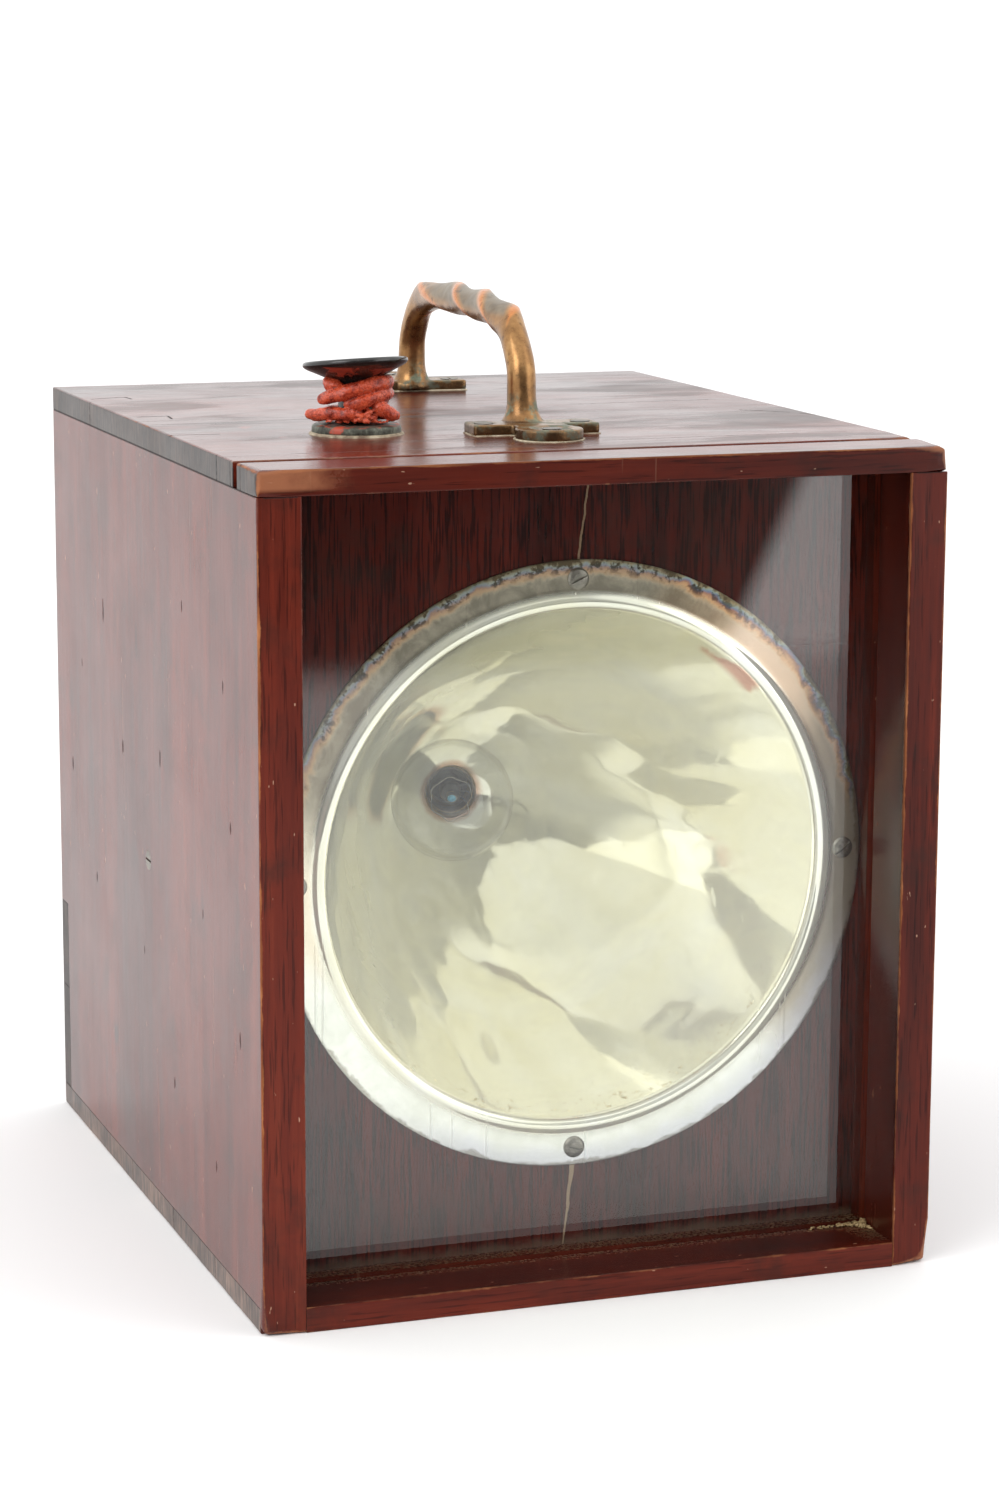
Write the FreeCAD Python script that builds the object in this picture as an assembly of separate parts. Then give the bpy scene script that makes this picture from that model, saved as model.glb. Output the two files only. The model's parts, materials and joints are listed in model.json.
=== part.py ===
import FreeCAD, Part
import os
import math

# Darkroom safelight lamphouse: a mahogany box with a sliding front glass, a
# spun reflector on an inner board, a lamp and its holder behind it, a rotary
# switch on the top and a cast carrying handle.
# Frame: origin at the middle of the footprint on the base plane, +X to the
# right along the front, +Y from the front to the rear, +Z up. Millimetres.

# ---- driving dimensions ------------------------------------------------------
W = 300.0            # case width
D = 363.6            # case depth
H = 357.0            # case height, without knob and handle
T_TOP = 10.7         # top board
T_BOT = 11.0         # bottom board
X_IL = -131.5        # inner face of the left side
X_IR = 133.0         # inner face of the right side
TOE = 5.0            # depth of the side boards' front toes in front of the bottom board
GROOVE_Y0 = -152.4   # front of the glass groove and of the top slot
GROOVE_Y1 = -146.4   # rear of the glass groove and of the top slot
GROOVE_D = 5.0       # groove depth in the sides
GLASS_T = 5.0        # front glass
REAR_T = 13.8        # rear lower board and rear door thickness
REAR_H = 104.5       # top edge of the rear lower board
RB_Y0 = -138.5       # reflector board, front face
RB_Y1 = -129.0       # reflector board, rear face
AX_X = 0.9           # reflector axis, x
AX_Z = 178.3         # reflector axis, z
R_FL = 131.6         # reflector flange radius
R_BOWL = 111.0       # reflector bowl mouth radius
BOWL_K = 72.7        # paraboloid: y = BOWL_APEX - r^2 / BOWL_K
BOWL_APEX = 30.0
R_HOLE = 12.5        # reflector apex hole
LEAN = 17.0          # lamp axis, swung to the left of the case axis, degrees
LIFT = 5.0           # lamp axis, raised towards the front, degrees
KN_X = -72.0         # knob axis
KN_Y = -62.0
DISC_ROLL = 3.5       # knob disc, low at the left, degrees
DISC_PITCH = -6.0     # knob disc, front edge raised, degrees
HA_X = 4.5           # handle centre
HA_Y = 20.0
HA_SKEW = 3.47       # handle turned about Z, degrees
SP_R = 3.5           # switch spindle radius
HINGE_X = 132.6      # rear door hinge axis
HINGE_Y = 184.4

XL = -W / 2
XR = W / 2
YF = -D / 2
YR = D / 2
Z_TU = H - T_TOP     # underside of the top board

V = FreeCAD.Vector
os.makedirs("parts", exist_ok=True)


# ---- helpers -----------------------------------------------------------------
def box(x0, x1, y0, y1, z0, z1):
    return Part.makeBox(x1 - x0, y1 - y0, z1 - z0, V(x0, y0, z0))


def cyl(r, p, d, h):
    return Part.makeCylinder(r, h, V(*p), V(*d))


def ring(r0, r1, p, d, h):
    return cyl(r1, p, d, h).cut(cyl(r0, p, d, h))


def revolve(pts, p, d):
    """Solid of revolution. pts are (radius, distance along d); p is the origin."""
    w = Part.makePolygon([V(r, 0, s) for r, s in pts] + [V(pts[0][0], 0, pts[0][1])])
    s = Part.Face(w).revolve(V(0, 0, 0), V(0, 0, 1), 360)
    s = Part.Solid(s) if s.ShapeType == "Shell" else s
    rot = FreeCAD.Rotation(V(0, 0, 1), V(*d))
    s.Placement = FreeCAD.Placement(V(*p), rot)
    return s


def csk(p, d, rh, rs, length, slot=None, grow=0.0):
    """Countersunk screw with its head face at p, driven along d."""
    rh += grow
    rs += grow
    hh = rh - rs
    s = revolve([(0, 0), (rh, 0), (rs, hh), (rs, length - rs), (0, length)], p, d)
    if slot is not None:
        s = s.cut(slot_tool(p, d, rh, slot))
    return s


def slot_tool(p, d, rh, ang, width=1.0, deep=1.0):
    b = Part.makeBox(rh * 2.4, width, 2 * deep, V(-rh * 1.2, -width / 2, -deep))
    b.rotate(V(0, 0, 0), V(0, 0, 1), ang)
    b.Placement = FreeCAD.Placement(V(*p), FreeCAD.Rotation(V(0, 0, 1), V(*d))).multiply(b.Placement)
    return b


def tube(pts, r, name=None):
    """Round wire along straight runs joined by tangent arcs."""
    pts = [V(*p) for p in pts]
    edges = []
    cur = pts[0]
    radii = []
    for i in range(1, len(pts) - 1):
        a, b, c = pts[i - 1], pts[i], pts[i + 1]
        u = (b - a).normalize()
        w = (c - b).normalize()
        turn = math.acos(max(-1, min(1, u.dot(w))))
        run = 0.45 * min((b - a).Length, (c - b).Length)
        rad = run / math.tan(turn / 2)
        radii.append(round(rad, 1))
        t0 = b - u * run
        t1 = b + w * run
        h = (w - u).normalize()
        cen_d = rad / math.cos(turn / 2)
        m = b + h * (cen_d - rad)
        if (t0 - cur).Length > 1e-6:
            edges.append(Part.LineSegment(cur, t0).toShape())
        edges.append(Part.Arc(t0, m, t1).toShape())
        cur = t1
    edges.append(Part.LineSegment(cur, pts[-1]).toShape())
    wire = Part.Wire(edges)
    d0 = (pts[1] - pts[0]).normalize()
    prof = Part.Wire([Part.makeCircle(r, pts[0], d0)])
    s = wire.makePipeShell([prof], True, False)
    if s.ShapeType != "Solid":
        s = Part.Solid(s)
    if name:
        print(name, "radii", radii, "length", round(wire.Length, 1), "volume ratio",
              round(s.Volume / (math.pi * r * r * wire.Length), 4))
    return s


def fuse(shapes):
    s = shapes[0]
    for o in shapes[1:]:
        s = s.fuse(o)
    return s.removeSplitter()


def group(shapes):
    return Part.makeCompound(shapes)


def cut(s, tools):
    for t in tools:
        s = s.cut(t)
    return s


def save(name, s):
    if s.ShapeType == "Compound" and len(s.Solids) == 1:
        s = s.Solids[0]
    bad = [x for x in s.Solids if not x.isValid() or x.Volume <= 0]
    bb = s.BoundBox
    print("%-22s solids %2d vol %10.1f  x %7.1f %7.1f  y %7.1f %7.1f  z %7.1f %7.1f %s" % (
        name, len(s.Solids), s.Volume, bb.XMin, bb.XMax, bb.YMin, bb.YMax, bb.ZMin, bb.ZMax,
        "BAD" if bad or not s.Solids else ""))
    s.exportStep("parts/%s.step" % name)


UP = (0, 0, 1)
DN = (0, 0, -1)
BK = (0, 1, 0)
FR = (0, -1, 0)
RT = (1, 0, 0)
LF = (-1, 0, 0)

# ---- screw positions -----------------------------------------------------------
bottom_pts = [(x, y) for x in (-141.0, 141.5) for y in (-120.0, 20.0, 140.0)]
rear_pts = [(x, z) for x in (-141.0, 141.5) for z in (34.0, 82.0)]
batten_z = 161.6
batten_y = 3.1
refl_r = 123.5
refl_screws = [(AX_X + refl_r * math.cos(math.radians(a)), AX_Z + refl_r * math.sin(math.radians(a)), s)
               for a, s in ((90, 25), (0, 38), (270, -15), (180, 100))]

bottom_holes = [csk((x, y, 0), UP, 4.2, 2.0, 34, grow=0.05) for x, y in bottom_pts]
rear_holes = [csk((x, YR, z), FR, 4.0, 1.9, 32, grow=0.05) for x, z in rear_pts]
side_holes = [csk((XL, batten_y, batten_z), RT, 4.6, 2.2, 31, grow=0.05),
              csk((XR, batten_y, batten_z), LF, 4.6, 2.2, 30, grow=0.05)]

# ---- case boards ---------------------------------------------------------------
def side(x0, x1, xi, inward):
    s = box(x0, x1, YF, YR, T_BOT, Z_TU)
    s = s.fuse(box(x0, x1, YF, YF + TOE, 0, T_BOT))
    # rear notch that takes the rear lower board
    s = s.cut(box(x0 - 1, x1 + 1, YR - REAR_T, YR + 1, T_BOT - 1, REAR_H))
    # glass groove, open at the top
    gx0, gx1 = (xi - GROOVE_D, xi + 1) if inward > 0 else (xi - 1, xi + GROOVE_D)
    s = s.cut(box(gx0, gx1, GROOVE_Y0, GROOVE_Y1, T_BOT - 1, Z_TU + 1))
    return s.removeSplitter()



top_board = box(XL, XR, GROOVE_Y1, YR, Z_TU, H)
top_front_strip = box(XL, XR, YF, GROOVE_Y0, Z_TU, H)

bottom_board = box(XL, XR, YF + TOE, YR, 0, T_BOT)
bottom_board = bottom_board.fuse(box(X_IL, X_IR, YF, YF + TOE, 0, T_BOT))
bottom_board = bottom_board.cut(box(X_IL - GROOVE_D, X_IR + GROOVE_D, GROOVE_Y0, GROOVE_Y1, 8.0, T_BOT + 1))
bottom_board = cut(bottom_board, bottom_holes).removeSplitter()

INL_X, INL_Z = 70.0, 40.0
rear_lower_board = box(XL, XR, YR - REAR_T, YR, T_BOT, REAR_H)
rear_lower_board = cut(rear_lower_board, rear_holes + [cyl(8.05, (INL_X, YR - REAR_T - 1, INL_Z), BK, REAR_T + 2)])

# ---- front glass, standing in its grooves --------------------------------------
front_glass = box(X_IL - GROOVE_D + 0.8, X_IR + GROOVE_D - 0.8, GROOVE_Y0 + 0.5, GROOVE_Y0 + 0.5 + GLASS_T, 8.0, 352.0)

# ---- reflector board and its cleats ---------------------------------------------
refl_holes = [cyl(1.75, (x, RB_Y0 - 2, z), BK, 12.0) for x, z, a in refl_screws]
cleat_x = ((X_IL, X_IL + 12.0), (X_IR - 12.0, X_IR))
cleat_holes = []
cleat_screws = []
for (x, d) in ((cleat_x[0][1], LF), (cleat_x[1][0], RT)):
    for z in (60.0, 290.0):
        p = (x, RB_Y1 + 6.0, z)
        cleat_holes.append(csk(p, d, 3.6, 1.7, 24, grow=0.05))
        cleat_screws.append(csk(p, d, 3.6, 1.7, 24, slot=z))
reflector_board = box(X_IL, X_IR, RB_Y0, RB_Y1, T_BOT, Z_TU)
reflector_board = cut(reflector_board, [cyl(R_BOWL + 2.5, (AX_X, RB_Y0 - 1, AX_Z), BK, 12)] + refl_holes)
board_cleats = group([cut(box(x0, x1, RB_Y1, RB_Y1 + 12.0, T_BOT, Z_TU), cleat_holes + refl_holes) for x0, x1 in cleat_x])

side_left = cut(side(XL, X_IL, X_IL, 1), bottom_holes[:3] + rear_holes[:2] + side_holes[:1] + cleat_holes[:2])
side_right = cut(side(X_IR, XR, X_IR, -1), bottom_holes[3:] + rear_holes[2:] + side_holes[1:] + cleat_holes[2:])

# ---- spun reflector: flange, raised bead, deep paraboloid with an apex hole -------
FL_T = 1.0
yF = RB_Y0 - FL_T    # front face of the flange
N = 22
r_lip = 112.5


def bowl_y(r):
    return BOWL_APEX - r * r / BOWL_K


inner = []
for i in range(N + 1):
    r = R_HOLE + (R_BOWL - R_HOLE) * i / N
    inner.append((r, bowl_y(r)))
outer = []
for (r, y) in inner:
    sl = -2 * r / BOWL_K
    n = math.hypot(1, sl)
    outer.append((r - sl / n * FL_T, y + FL_T / n))
prof_in = [(r, y) for r, y in inner if y > yF]
# the mouth meets the bead that stands proud of the flange
bead = [(R_BOWL, yF - 0.4), (R_BOWL + 0.8, yF - 1.3), (R_BOWL + 2.6, yF - 1.9), (R_BOWL + 4.2, yF - 1.3),
        (R_BOWL + 5.2, yF)]
pts = prof_in + bead + [(R_FL, yF), (R_FL, RB_Y0), (R_BOWL + 2.2, RB_Y0)]
pts += [(r, y) for r, y in reversed(outer) if y > RB_Y0 + 1.0 and r < R_BOWL + 2.0]
reflector = revolve([(r, y) for r, y in pts], (AX_X, 0, AX_Z), BK)
reflector = cut(reflector, [cyl(2.3, (x, yF - 1, z), BK, 4) for x, z, a in refl_screws])
reflector_screws = []
for x, z, a in refl_screws:
    s = revolve([(0, -1.7), (2.4, -1.55), (3.9, -1.0), (4.7, -0.35), (4.7, 0), (1.7, 0), (1.7, 10.0), (0, 11.0)], (x, yF, z), BK)
    b = box(-6, 6, -3, -0.7, -0.5, 0.5)
    b.rotate(V(0, 0, 0), V(0, 1, 0), -a)
    b.translate(V(x, yF, z))
    reflector_screws.append(s.cut(b))
reflector_screws = group(reflector_screws)

# ---- lamp bearer on two battens ----------------------------------------------------
bearer_y0, bearer_y1 = 84.0, 96.0
BT = 18.0
bat = [(X_IL, X_IL + BT), (X_IR - BT, X_IR)]
bearer_holes = [csk(((x0 + x1) / 2, bearer_y1, batten_z + dz), FR, 3.8, 1.8, 34, grow=0.05) for x0, x1 in bat for dz in (0,)]
battens = [cut(box(x0, x1, RB_Y1 + 12.0, bearer_y0, batten_z - 9, batten_z + 9), side_holes + bearer_holes) for x0, x1 in bat]
bearer_battens = group(battens)
side_screws = group([csk((XL, batten_y, batten_z), RT, 4.6, 2.2, 31, slot=90),
                     csk((XR, batten_y, batten_z), LF, 4.6, 2.2, 30, slot=70)])
bearer_screws = group([csk(((x0 + x1) / 2, bearer_y1, batten_z), FR, 3.8, 1.8, 34, slot=20) for x0, x1 in bat])

# ---- lamp axis -----------------------------------------------------------------------
ly = math.radians(LEAN)
lz = math.radians(LIFT)
LD = V(-math.sin(ly) * math.cos(lz), -math.cos(ly) * math.cos(lz), math.sin(lz))   # towards the lamp's tip
L0 = V(AX_X, 28.6, AX_Z)          # lamp axis at the apex hole
LX = V(math.cos(ly), -math.sin(ly), 0)   # level, square to the lamp axis
LY = LD.cross(LX)
ROT = FreeCAD.Rotation(LX, LY, LD, "ZXY")


def on_lamp(s):
    """Places a shape that was built about +Z with its origin at the apex hole."""
    s = s.copy()
    s.Placement = FreeCAD.Placement(L0, ROT).multiply(s.Placement)
    return s


def lrev(pts):
    return on_lamp(revolve(pts, (0, 0, 0), UP))


# glass envelope: round bulb with a short neck, 0.7 thick
GC, GR = 34.0, 28.0
neck = [(10.6, -14.0), (10.6, -2.0), (10.9, 2.0), (12.0, 6.0), (14.2, 9.9)]
arc = [(GR * math.sin(math.radians(a)), GC - GR * math.cos(math.radians(a))) for a in range(38, 181, 6)]
arc = [(max(r, 0.0), s) for r, s in arc]
arc[-1] = (0.0, GC + GR)
go = neck + arc
gi = [(9.9, -14.0), (9.9, -2.0), (10.2, 2.2), (11.4, 6.4), (13.7, 10.4)]
arci = [((GR - 0.7) * math.sin(math.radians(a)), GC - (GR - 0.7) * math.cos(math.radians(a))) for a in range(38, 181, 6)]
arci[-1] = (0.0, GC + GR - 0.7)
lamp_glass = lrev(go + [(0, GC + GR - 0.7)] + list(reversed(gi + arci))[1:])
# glass stem: flare, tube, press and button
lamp_stem = lrev([(0, -13.5), (9.6, -13.5), (9.3, -10.5), (5.2, -5.0), (4.2, 0.0), (4.2, 9.0), (2.0, 12.5), (1.6, 14.0), (1.6, 23.0), (2.9, 24.2), (2.9, 26.2), (1.4, 27.4), (0, 27.4)])
# filament: a zigzag ring of wire carried by two leads
fp = []
nf = 12
for i in range(nf):
    a = 2 * math.pi * (i + 0.5) / (nf + 1)
    rr = 11.0 if i % 2 else 9.0
    fp.append((rr * math.cos(a), rr * math.sin(a), 33.0 if i % 2 else 29.0))
lead1 = [(4.5, 1.2, 8.5), (5.4, 1.6, 14.0), (7.4, 2.6, 21.0)]
lead2 = [(7.2, -2.6, 21.0), (5.4, -1.6, 14.0), (4.5, -1.2, 8.5)]
fil = tube(lead1 + fp + lead2, 0.25, "lamp_filament")
lamp_filament = on_lamp(fil)
# brass bayonet cap, its two pins and its two contacts
cap = revolve([(10.65, -9.0), (11.0, -9.0), (11.0, -33.0), (9.0, -36.0), (9.0, -33.0), (10.65, -31.5)], (0, 0, 0), UP)
lamp_cap = on_lamp(cap)
lamp_seal = lrev([(0, -36.0), (9.0, -36.0), (9.0, -33.05), (9.0, -30.0), (0, -30.0)])
pin_s = -26.5
pins = [cyl(1.0, (sx * 11.0, 0, pin_s), (sx, 0, 0), 2.1) for sx in (1, -1)]
lamp_pins = group([on_lamp(p) for p in pins])
lamp_contacts = group([on_lamp(cyl(2.2, (0, sy * 4.2, -37.2), UP, 1.2)) for sy in (1, -1)])

# ---- lampholder: brass shell with two bayonet slots, insulator, plungers --------------
shell = revolve([(11.3, -12.0), (13.4, -12.0), (13.4, -14.0), (12.1, -15.0), (12.1, -44.0), (6.0, -47.0), (6.0, -45.6), (11.3, -43.0)], (0, 0, 0), UP)
slots = []
for sx in (1, -1):
    # entry channel at -24 degrees and a short run round to the pin's seat at 0
    e = box(8, 15, -1.4, 1.4, pin_s - 1.4, -11.0)
    e.rotate(V(0, 0, 0), V(0, 0, 1), -16)
    seat = box(8, 15, -1.4, 1.4, pin_s - 1.4, pin_s + 1.4)
    mid = box(8, 15, -1.4, 1.4, pin_s - 1.4, pin_s + 1.4)
    mid.rotate(V(0, 0, 0), V(0, 0, 1), -8)
    for q in (e, seat, mid):
        if sx < 0:
            q.rotate(V(0, 0, 0), V(0, 0, 1), 180)
        slots.append(q)
# the shell stands clear behind the reflector
shell = cut(shell, slots)
lampholder_shell = on_lamp(shell)
ins = revolve([(0, -40.5), (11.2, -40.5), (11.2, -43.0), (6.0, -45.5), (0, -45.5)], (0, 0, 0), UP)
ins = cut(ins, [cyl(1.85, (0, sy * 4.2, -46), UP, 7) for sy in (1, -1)])
lampholder_insulator = on_lamp(ins)
lampholder_plungers = group([on_lamp(cyl(1.8, (0, sy * 4.2, -44.5), UP, 7.25)) for sy in (1, -1)])
lampholder_nipple = on_lamp(revolve([(3.2, -45.6), (5.9, -45.6), (5.9, -52.0), (3.2, -52.0)], (0, 0, 0), UP))
lampholder_nut = on_lamp(revolve([(5.95, -49.0), (9.5, -49.0), (9.5, -51.5), (5.95, -51.5)], (0, 0, 0), UP))

# brass bracket: a plate square to the lamp axis, an arm and a foot on the bearer
def lw(a, b, s):
    return L0 + LX * a + LY * b + LD * s


plate = Part.makeBox(33.0, 22.0, 1.9, V(-11.0, -11.0, -48.95))
arm = Part.makeBox(1.9, 22.0, 24.0, V(20.1, -11.0, -71.05))
foot = box(37.2, 62.0, bearer_y0 - 1.9, bearer_y0, 162.5, 183.0)
bracket_holes = [csk((x, bearer_y0 - 1.9, 172.7), BK, 3.0, 1.5, 11, grow=0.05) for x in (46.0, 56.0)]
bracket = on_lamp(plate.fuse(arm)).common(box(-60, 80, 40, bearer_y0, 140, 210)).fuse(foot)
lampholder_bracket = cut(bracket, [on_lamp(cyl(5.95, (0, 0, -52), UP, 6))] + bracket_holes).removeSplitter()
bracket_screws = group([csk((x, bearer_y0 - 1.9, 172.7), BK, 3.0, 1.5, 11, slot=20 * i) for i, x in enumerate((46.0, 56.0))])

# ---- knob, spindle, switch ------------------------------------------------------------
kp = (KN_X, KN_Y, 0)
knob_base = revolve([(SP_R + 0.06, H), (19.2, H), (19.2, H + 3.2), (18.2, H + 4.5), (SP_R + 0.06, H + 4.5)], kp, UP)
base_seal = revolve([(19.25, H), (20.4, H), (19.25, H + 1.1)], kp, UP)
top_board = top_board.cut(cyl(5.0, (KN_X, KN_Y, Z_TU - 1), UP, T_TOP + 2))
stem = revolve([(SP_R, 361.9), (8.0, 361.9), (8.0, 378.0), (SP_R, 378.0)], kp, UP)
disc = revolve([(0, 376.0), (8.0, 376.0), (9.5, 379.5), (21.0, 385.0), (22.6, 386.4), (22.6, 387.9), (21.6, 388.9), (16.0, 388.4), (0, 388.0)], kp, UP)
# the disc sits askew on its neck: low at the left, and its front edge raised
disc.rotate(V(KN_X, KN_Y, 380.0), V(-0.2944, -0.9557, 0), DISC_ROLL)
disc.rotate(V(KN_X, KN_Y, 380.0), V(0.9557, -0.2944, 0), DISC_PITCH)
knob = stem.fuse(disc).cut(cyl(SP_R, (KN_X, KN_Y, 350), UP, 32.0)).removeSplitter()
knob_spindle = cyl(SP_R, (KN_X, KN_Y, 327.0), UP, 55.0)
knob_spindle = knob_spindle.cut(box(KN_X - 5, KN_X + 5, KN_Y + 2.6, KN_Y + 5, 327, 341.2))
# perished rubber sleeve lumped round the knob's neck
lumps = []
for z, R, r, dx, dy in ((365.2, 10.8, 3.2, 0.6, 0), (370.6, 10.2, 3.4, -0.8, 0.5), (376.0, 10.0, 3.0, 0.5, 0)):
    t = Part.makeTorus(R, r, V(KN_X + dx, KN_Y + dy, z), V(0.03, 0.02, 1))
    lumps.append(t)
lumps.append(cyl(10.5, (KN_X, KN_Y, 363.0), UP, 13.5))
wrap = lumps[-1]
for t in lumps[:-1]:
    wrap = wrap.fuse(t)
for p, d, r, h in (((KN_X - 6, KN_Y - 11, 365.3), (-1, -0.15, 0), 3.1, 12.5), ((KN_X + 5, KN_Y - 11, 366.0), (1, -0.1, 0.1), 3.2, 12.0),
                   ((KN_X - 4, KN_Y - 10.5, 374.0), (-1, 0.1, 0.15), 2.7, 12.0)):
    dd = V(*d).normalize()
    wrap = wrap.fuse(cyl(r, p, d, h)).fuse(Part.makeSphere(r, V(*p) + dd * h))
wrap = wrap.cut(cyl(8.0, (KN_X, KN_Y, 350), UP, 40)).cut(disc)
wrap = wrap.common(box(KN_X - 40, KN_X + 40, KN_Y - 40, KN_Y + 40, 361.9, 384))
rubber_wrap = max(wrap.Solids, key=lambda q: q.Volume)

SW_R = 22.0
switch_body = revolve([(SP_R + 0.06, 322.3), (SW_R, 322.3), (SW_R, Z_TU), (18.5, Z_TU), (18.5, 326.0), (SP_R + 0.06, 326.0)], kp, UP)
switch_body = switch_body.fuse(cyl(5.9, (KN_X, KN_Y + 27.2, 341.3), UP, 5.0)).fuse(cyl(5.9, (KN_X, KN_Y - 27.2, 341.3), UP, 5.0))
switch_body = switch_body.fuse(box(KN_X - 4, KN_X + 4, KN_Y + 20.5, KN_Y + 27, 341.3, Z_TU)).fuse(box(KN_X - 4, KN_X + 4, KN_Y - 27, KN_Y - 20.5, 341.3, Z_TU))
sw_holes = [csk((KN_X, KN_Y + s * 27.2, 341.3), UP, 3.2, 1.5, 12, grow=0.05) for s in (1, -1)]
switch_screws = group([csk((KN_X, KN_Y + s * 27.2, 341.3), UP, 3.2, 1.5, 12, slot=15) for s in (1, -1)])
post_xy = [(KN_X + s * 14.3, KN_Y) for s in (1, -1)]
switch_body = cut(switch_body, sw_holes + [cyl(1.65, (x, y, 320), UP, 8) for x, y in post_xy]).cut(cyl(18.5, (KN_X, KN_Y, 326.0), UP, 15.3)).removeSplitter()
top_board = cut(top_board, sw_holes)
switch_posts = group([cyl(1.6, (x, y, 317.0), UP, 14.0).fuse(cyl(3.0, (x, y, 331.0), UP, 2.3)) for x, y in post_xy])
# the rotor and its blade turn with the spindle and bridge the posts when on
rotor = cyl(8.0, (KN_X, KN_Y, 335.2), UP, 6.0).cut(cyl(SP_R, (KN_X, KN_Y, 330), UP, 20).cut(box(KN_X - 5, KN_X + 5, KN_Y + 2.6, KN_Y + 5, 330, 350)))
switch_rotor = rotor
blade = box(KN_X - 3.0, KN_X + 3.0, KN_Y - 17.0, KN_Y + 17.0, 333.4, 335.2).fuse(cyl(6.5, (KN_X, KN_Y, 333.4), UP, 1.8)).removeSplitter().cut(cyl(SP_R + 0.02, (KN_X, KN_Y, 330), UP, 20))
switch_blade = blade

# ---- handle: cast, one piece, two footed legs and a twisted grip ------------------------
def hplace(s):
    s = s.copy()
    s.rotate(V(0, 0, 0), V(0, 0, 1), -HA_SKEW)
    s.translate(V(HA_X, HA_Y, 0))
    return s


def hworld(p, q, z):
    a = math.radians(HA_SKEW)
    return (HA_X + p * math.cos(a) + q * math.sin(a), HA_Y - p * math.sin(a) + q * math.cos(a), z)


LEG_Q = 98.0
FT = 5.0
grip = tube([(0, -LEG_Q - 1, H + 3), (0, -LEG_Q - 1, H + 20), (0, -LEG_Q + 8, 396), (0, -LEG_Q + 34, 406.5), (0, 0, 407.2), (0, LEG_Q - 34, 406.5),
             (0, LEG_Q - 8, 396), (0, LEG_Q + 1, H + 20), (0, LEG_Q + 1, H + 3)], 6.9, "handle")
hparts = [grip]
hs_local = []
# each foot: crossbar (p0, p1, q0, q1), lobe centre and radius, leg side
for s, (p0, p1, q0, q1), (pc, qc, rl) in ((-1, (-26.0, 30.0, -112.0, -94.0), (2.5, -127.5, 14.5)), (1, (-27.0, 26.0, 90.0, 108.0), (0.0, 125.0, 15.0))):
    qm = (q0 + q1) / 2
    bar = box(p0, p1, q0, q1, H, H + FT)
    lobe = cyl(rl, (pc, qc, H), UP, FT)
    web = box(pc - 12.0, pc + 12.0, min(qm, qc), max(qm, qc), H, H + FT)
    flare = Part.makeCone(9.6, 6.3, 10.0, V(0, s * (LEG_Q + 1), H + FT - 1.0), V(0, 0, 1))
    hparts += [bar, lobe, web, flare]
    hs_local += [(p0 + 6.5, qm), (p1 - 6.5, qm), (pc, qc + s * 3.0)]
handle = hplace(fuse(hparts))
hscrew_tools = []
hscrews = []
for i, (p, q) in enumerate(hs_local):
    w = hworld(p, q, H + FT)
    hscrew_tools.append(csk(w, DN, 4.4, 2.1, 13.5, grow=0.05))
    hscrews.append(csk(w, DN, 4.4, 2.1, 13.5, slot=25 * i))
handle = cut(handle, hscrew_tools)
handle_screws = group(hscrews)
top_board = cut(top_board, hscrew_tools)

# ---- rear door, hinges, stops, knob and turn button --------------------------------------
DX0, DX1 = X_IL + 1.0, X_IR - 1.0
DZ0, DZ1 = REAR_H + 0.8, Z_TU - 0.8
DY0, DY1 = YR - REAR_T + 1.8, YR
rear_door = box(DX0, DX1, DY0, DY1, DZ0, DZ1)
door_stops = group([box(X_IL, X_IL + 9, DY0 - 12, DY0 - 0.1, REAR_H + 1.0, Z_TU), box(X_IR - 9, X_IR, DY0 - 12, DY0 - 0.1, REAR_H + 1.0, Z_TU)])
KR, PR = 2.2, 1.1
fixed, moving, pins_, sf_t, sm_t, sf, sm = [], [], [], [], [], [], []
for zc in (150.0, 300.0):
    z0, z1 = zc - 20, zc + 20
    za, zb = zc - 7, zc + 7
    f = box(HINGE_X + KR + 0.3, 147.0, YR, YR + 1.2, z0, z1)
    m = box(119.0, HINGE_X - KR - 0.3, YR, YR + 1.2, z0, z1)
    for (a, b) in ((z0, za - 0.15), (zb + 0.15, z1)):
        f = f.fuse(box(HINGE_X, HINGE_X + KR + 1.0, HINGE_Y - KR, HINGE_Y - KR + 1.0, a, b)).fuse(cyl(KR, (HINGE_X, HINGE_Y, a), UP, b - a))
    m = m.fuse(box(HINGE_X - KR - 1.0, HINGE_X, HINGE_Y - KR, HINGE_Y - KR + 1.0, za + 0.15, zb - 0.15)).fuse(cyl(KR, (HINGE_X, HINGE_Y, za + 0.15), UP, zb - za - 0.3))
    f = f.cut(cyl(PR, (HINGE_X, HINGE_Y, z0 - 1), UP, 42))
    m = m.cut(cyl(PR + 0.05, (HINGE_X, HINGE_Y, z0 - 1), UP, 42))
    pins_.append(cyl(PR, (HINGE_X, HINGE_Y, z0), UP, 40))
    for dz in (-13, 13):
        sf_t.append(csk((141.5, YR + 1.2, zc + dz), FR, 2.6, 1.3, 14, grow=0.05))
        sf.append(csk((141.5, YR + 1.2, zc + dz), FR, 2.6, 1.3, 14, slot=35 + dz))
        sm_t.append(csk((124.0, YR + 1.2, zc + dz), FR, 2.6, 1.3, 11, grow=0.05))
        sm.append(csk((124.0, YR + 1.2, zc + dz), FR, 2.6, 1.3, 11, slot=60 + dz))
    fixed.append(f)
    moving.append(m)
fixed = [cut(f, sf_t).removeSplitter() for f in fixed]
moving = [cut(m, sm_t).removeSplitter() for m in moving]
side_right = cut(side_right, sf_t)
DKX, DKZ = -104.0, 225.0
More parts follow.
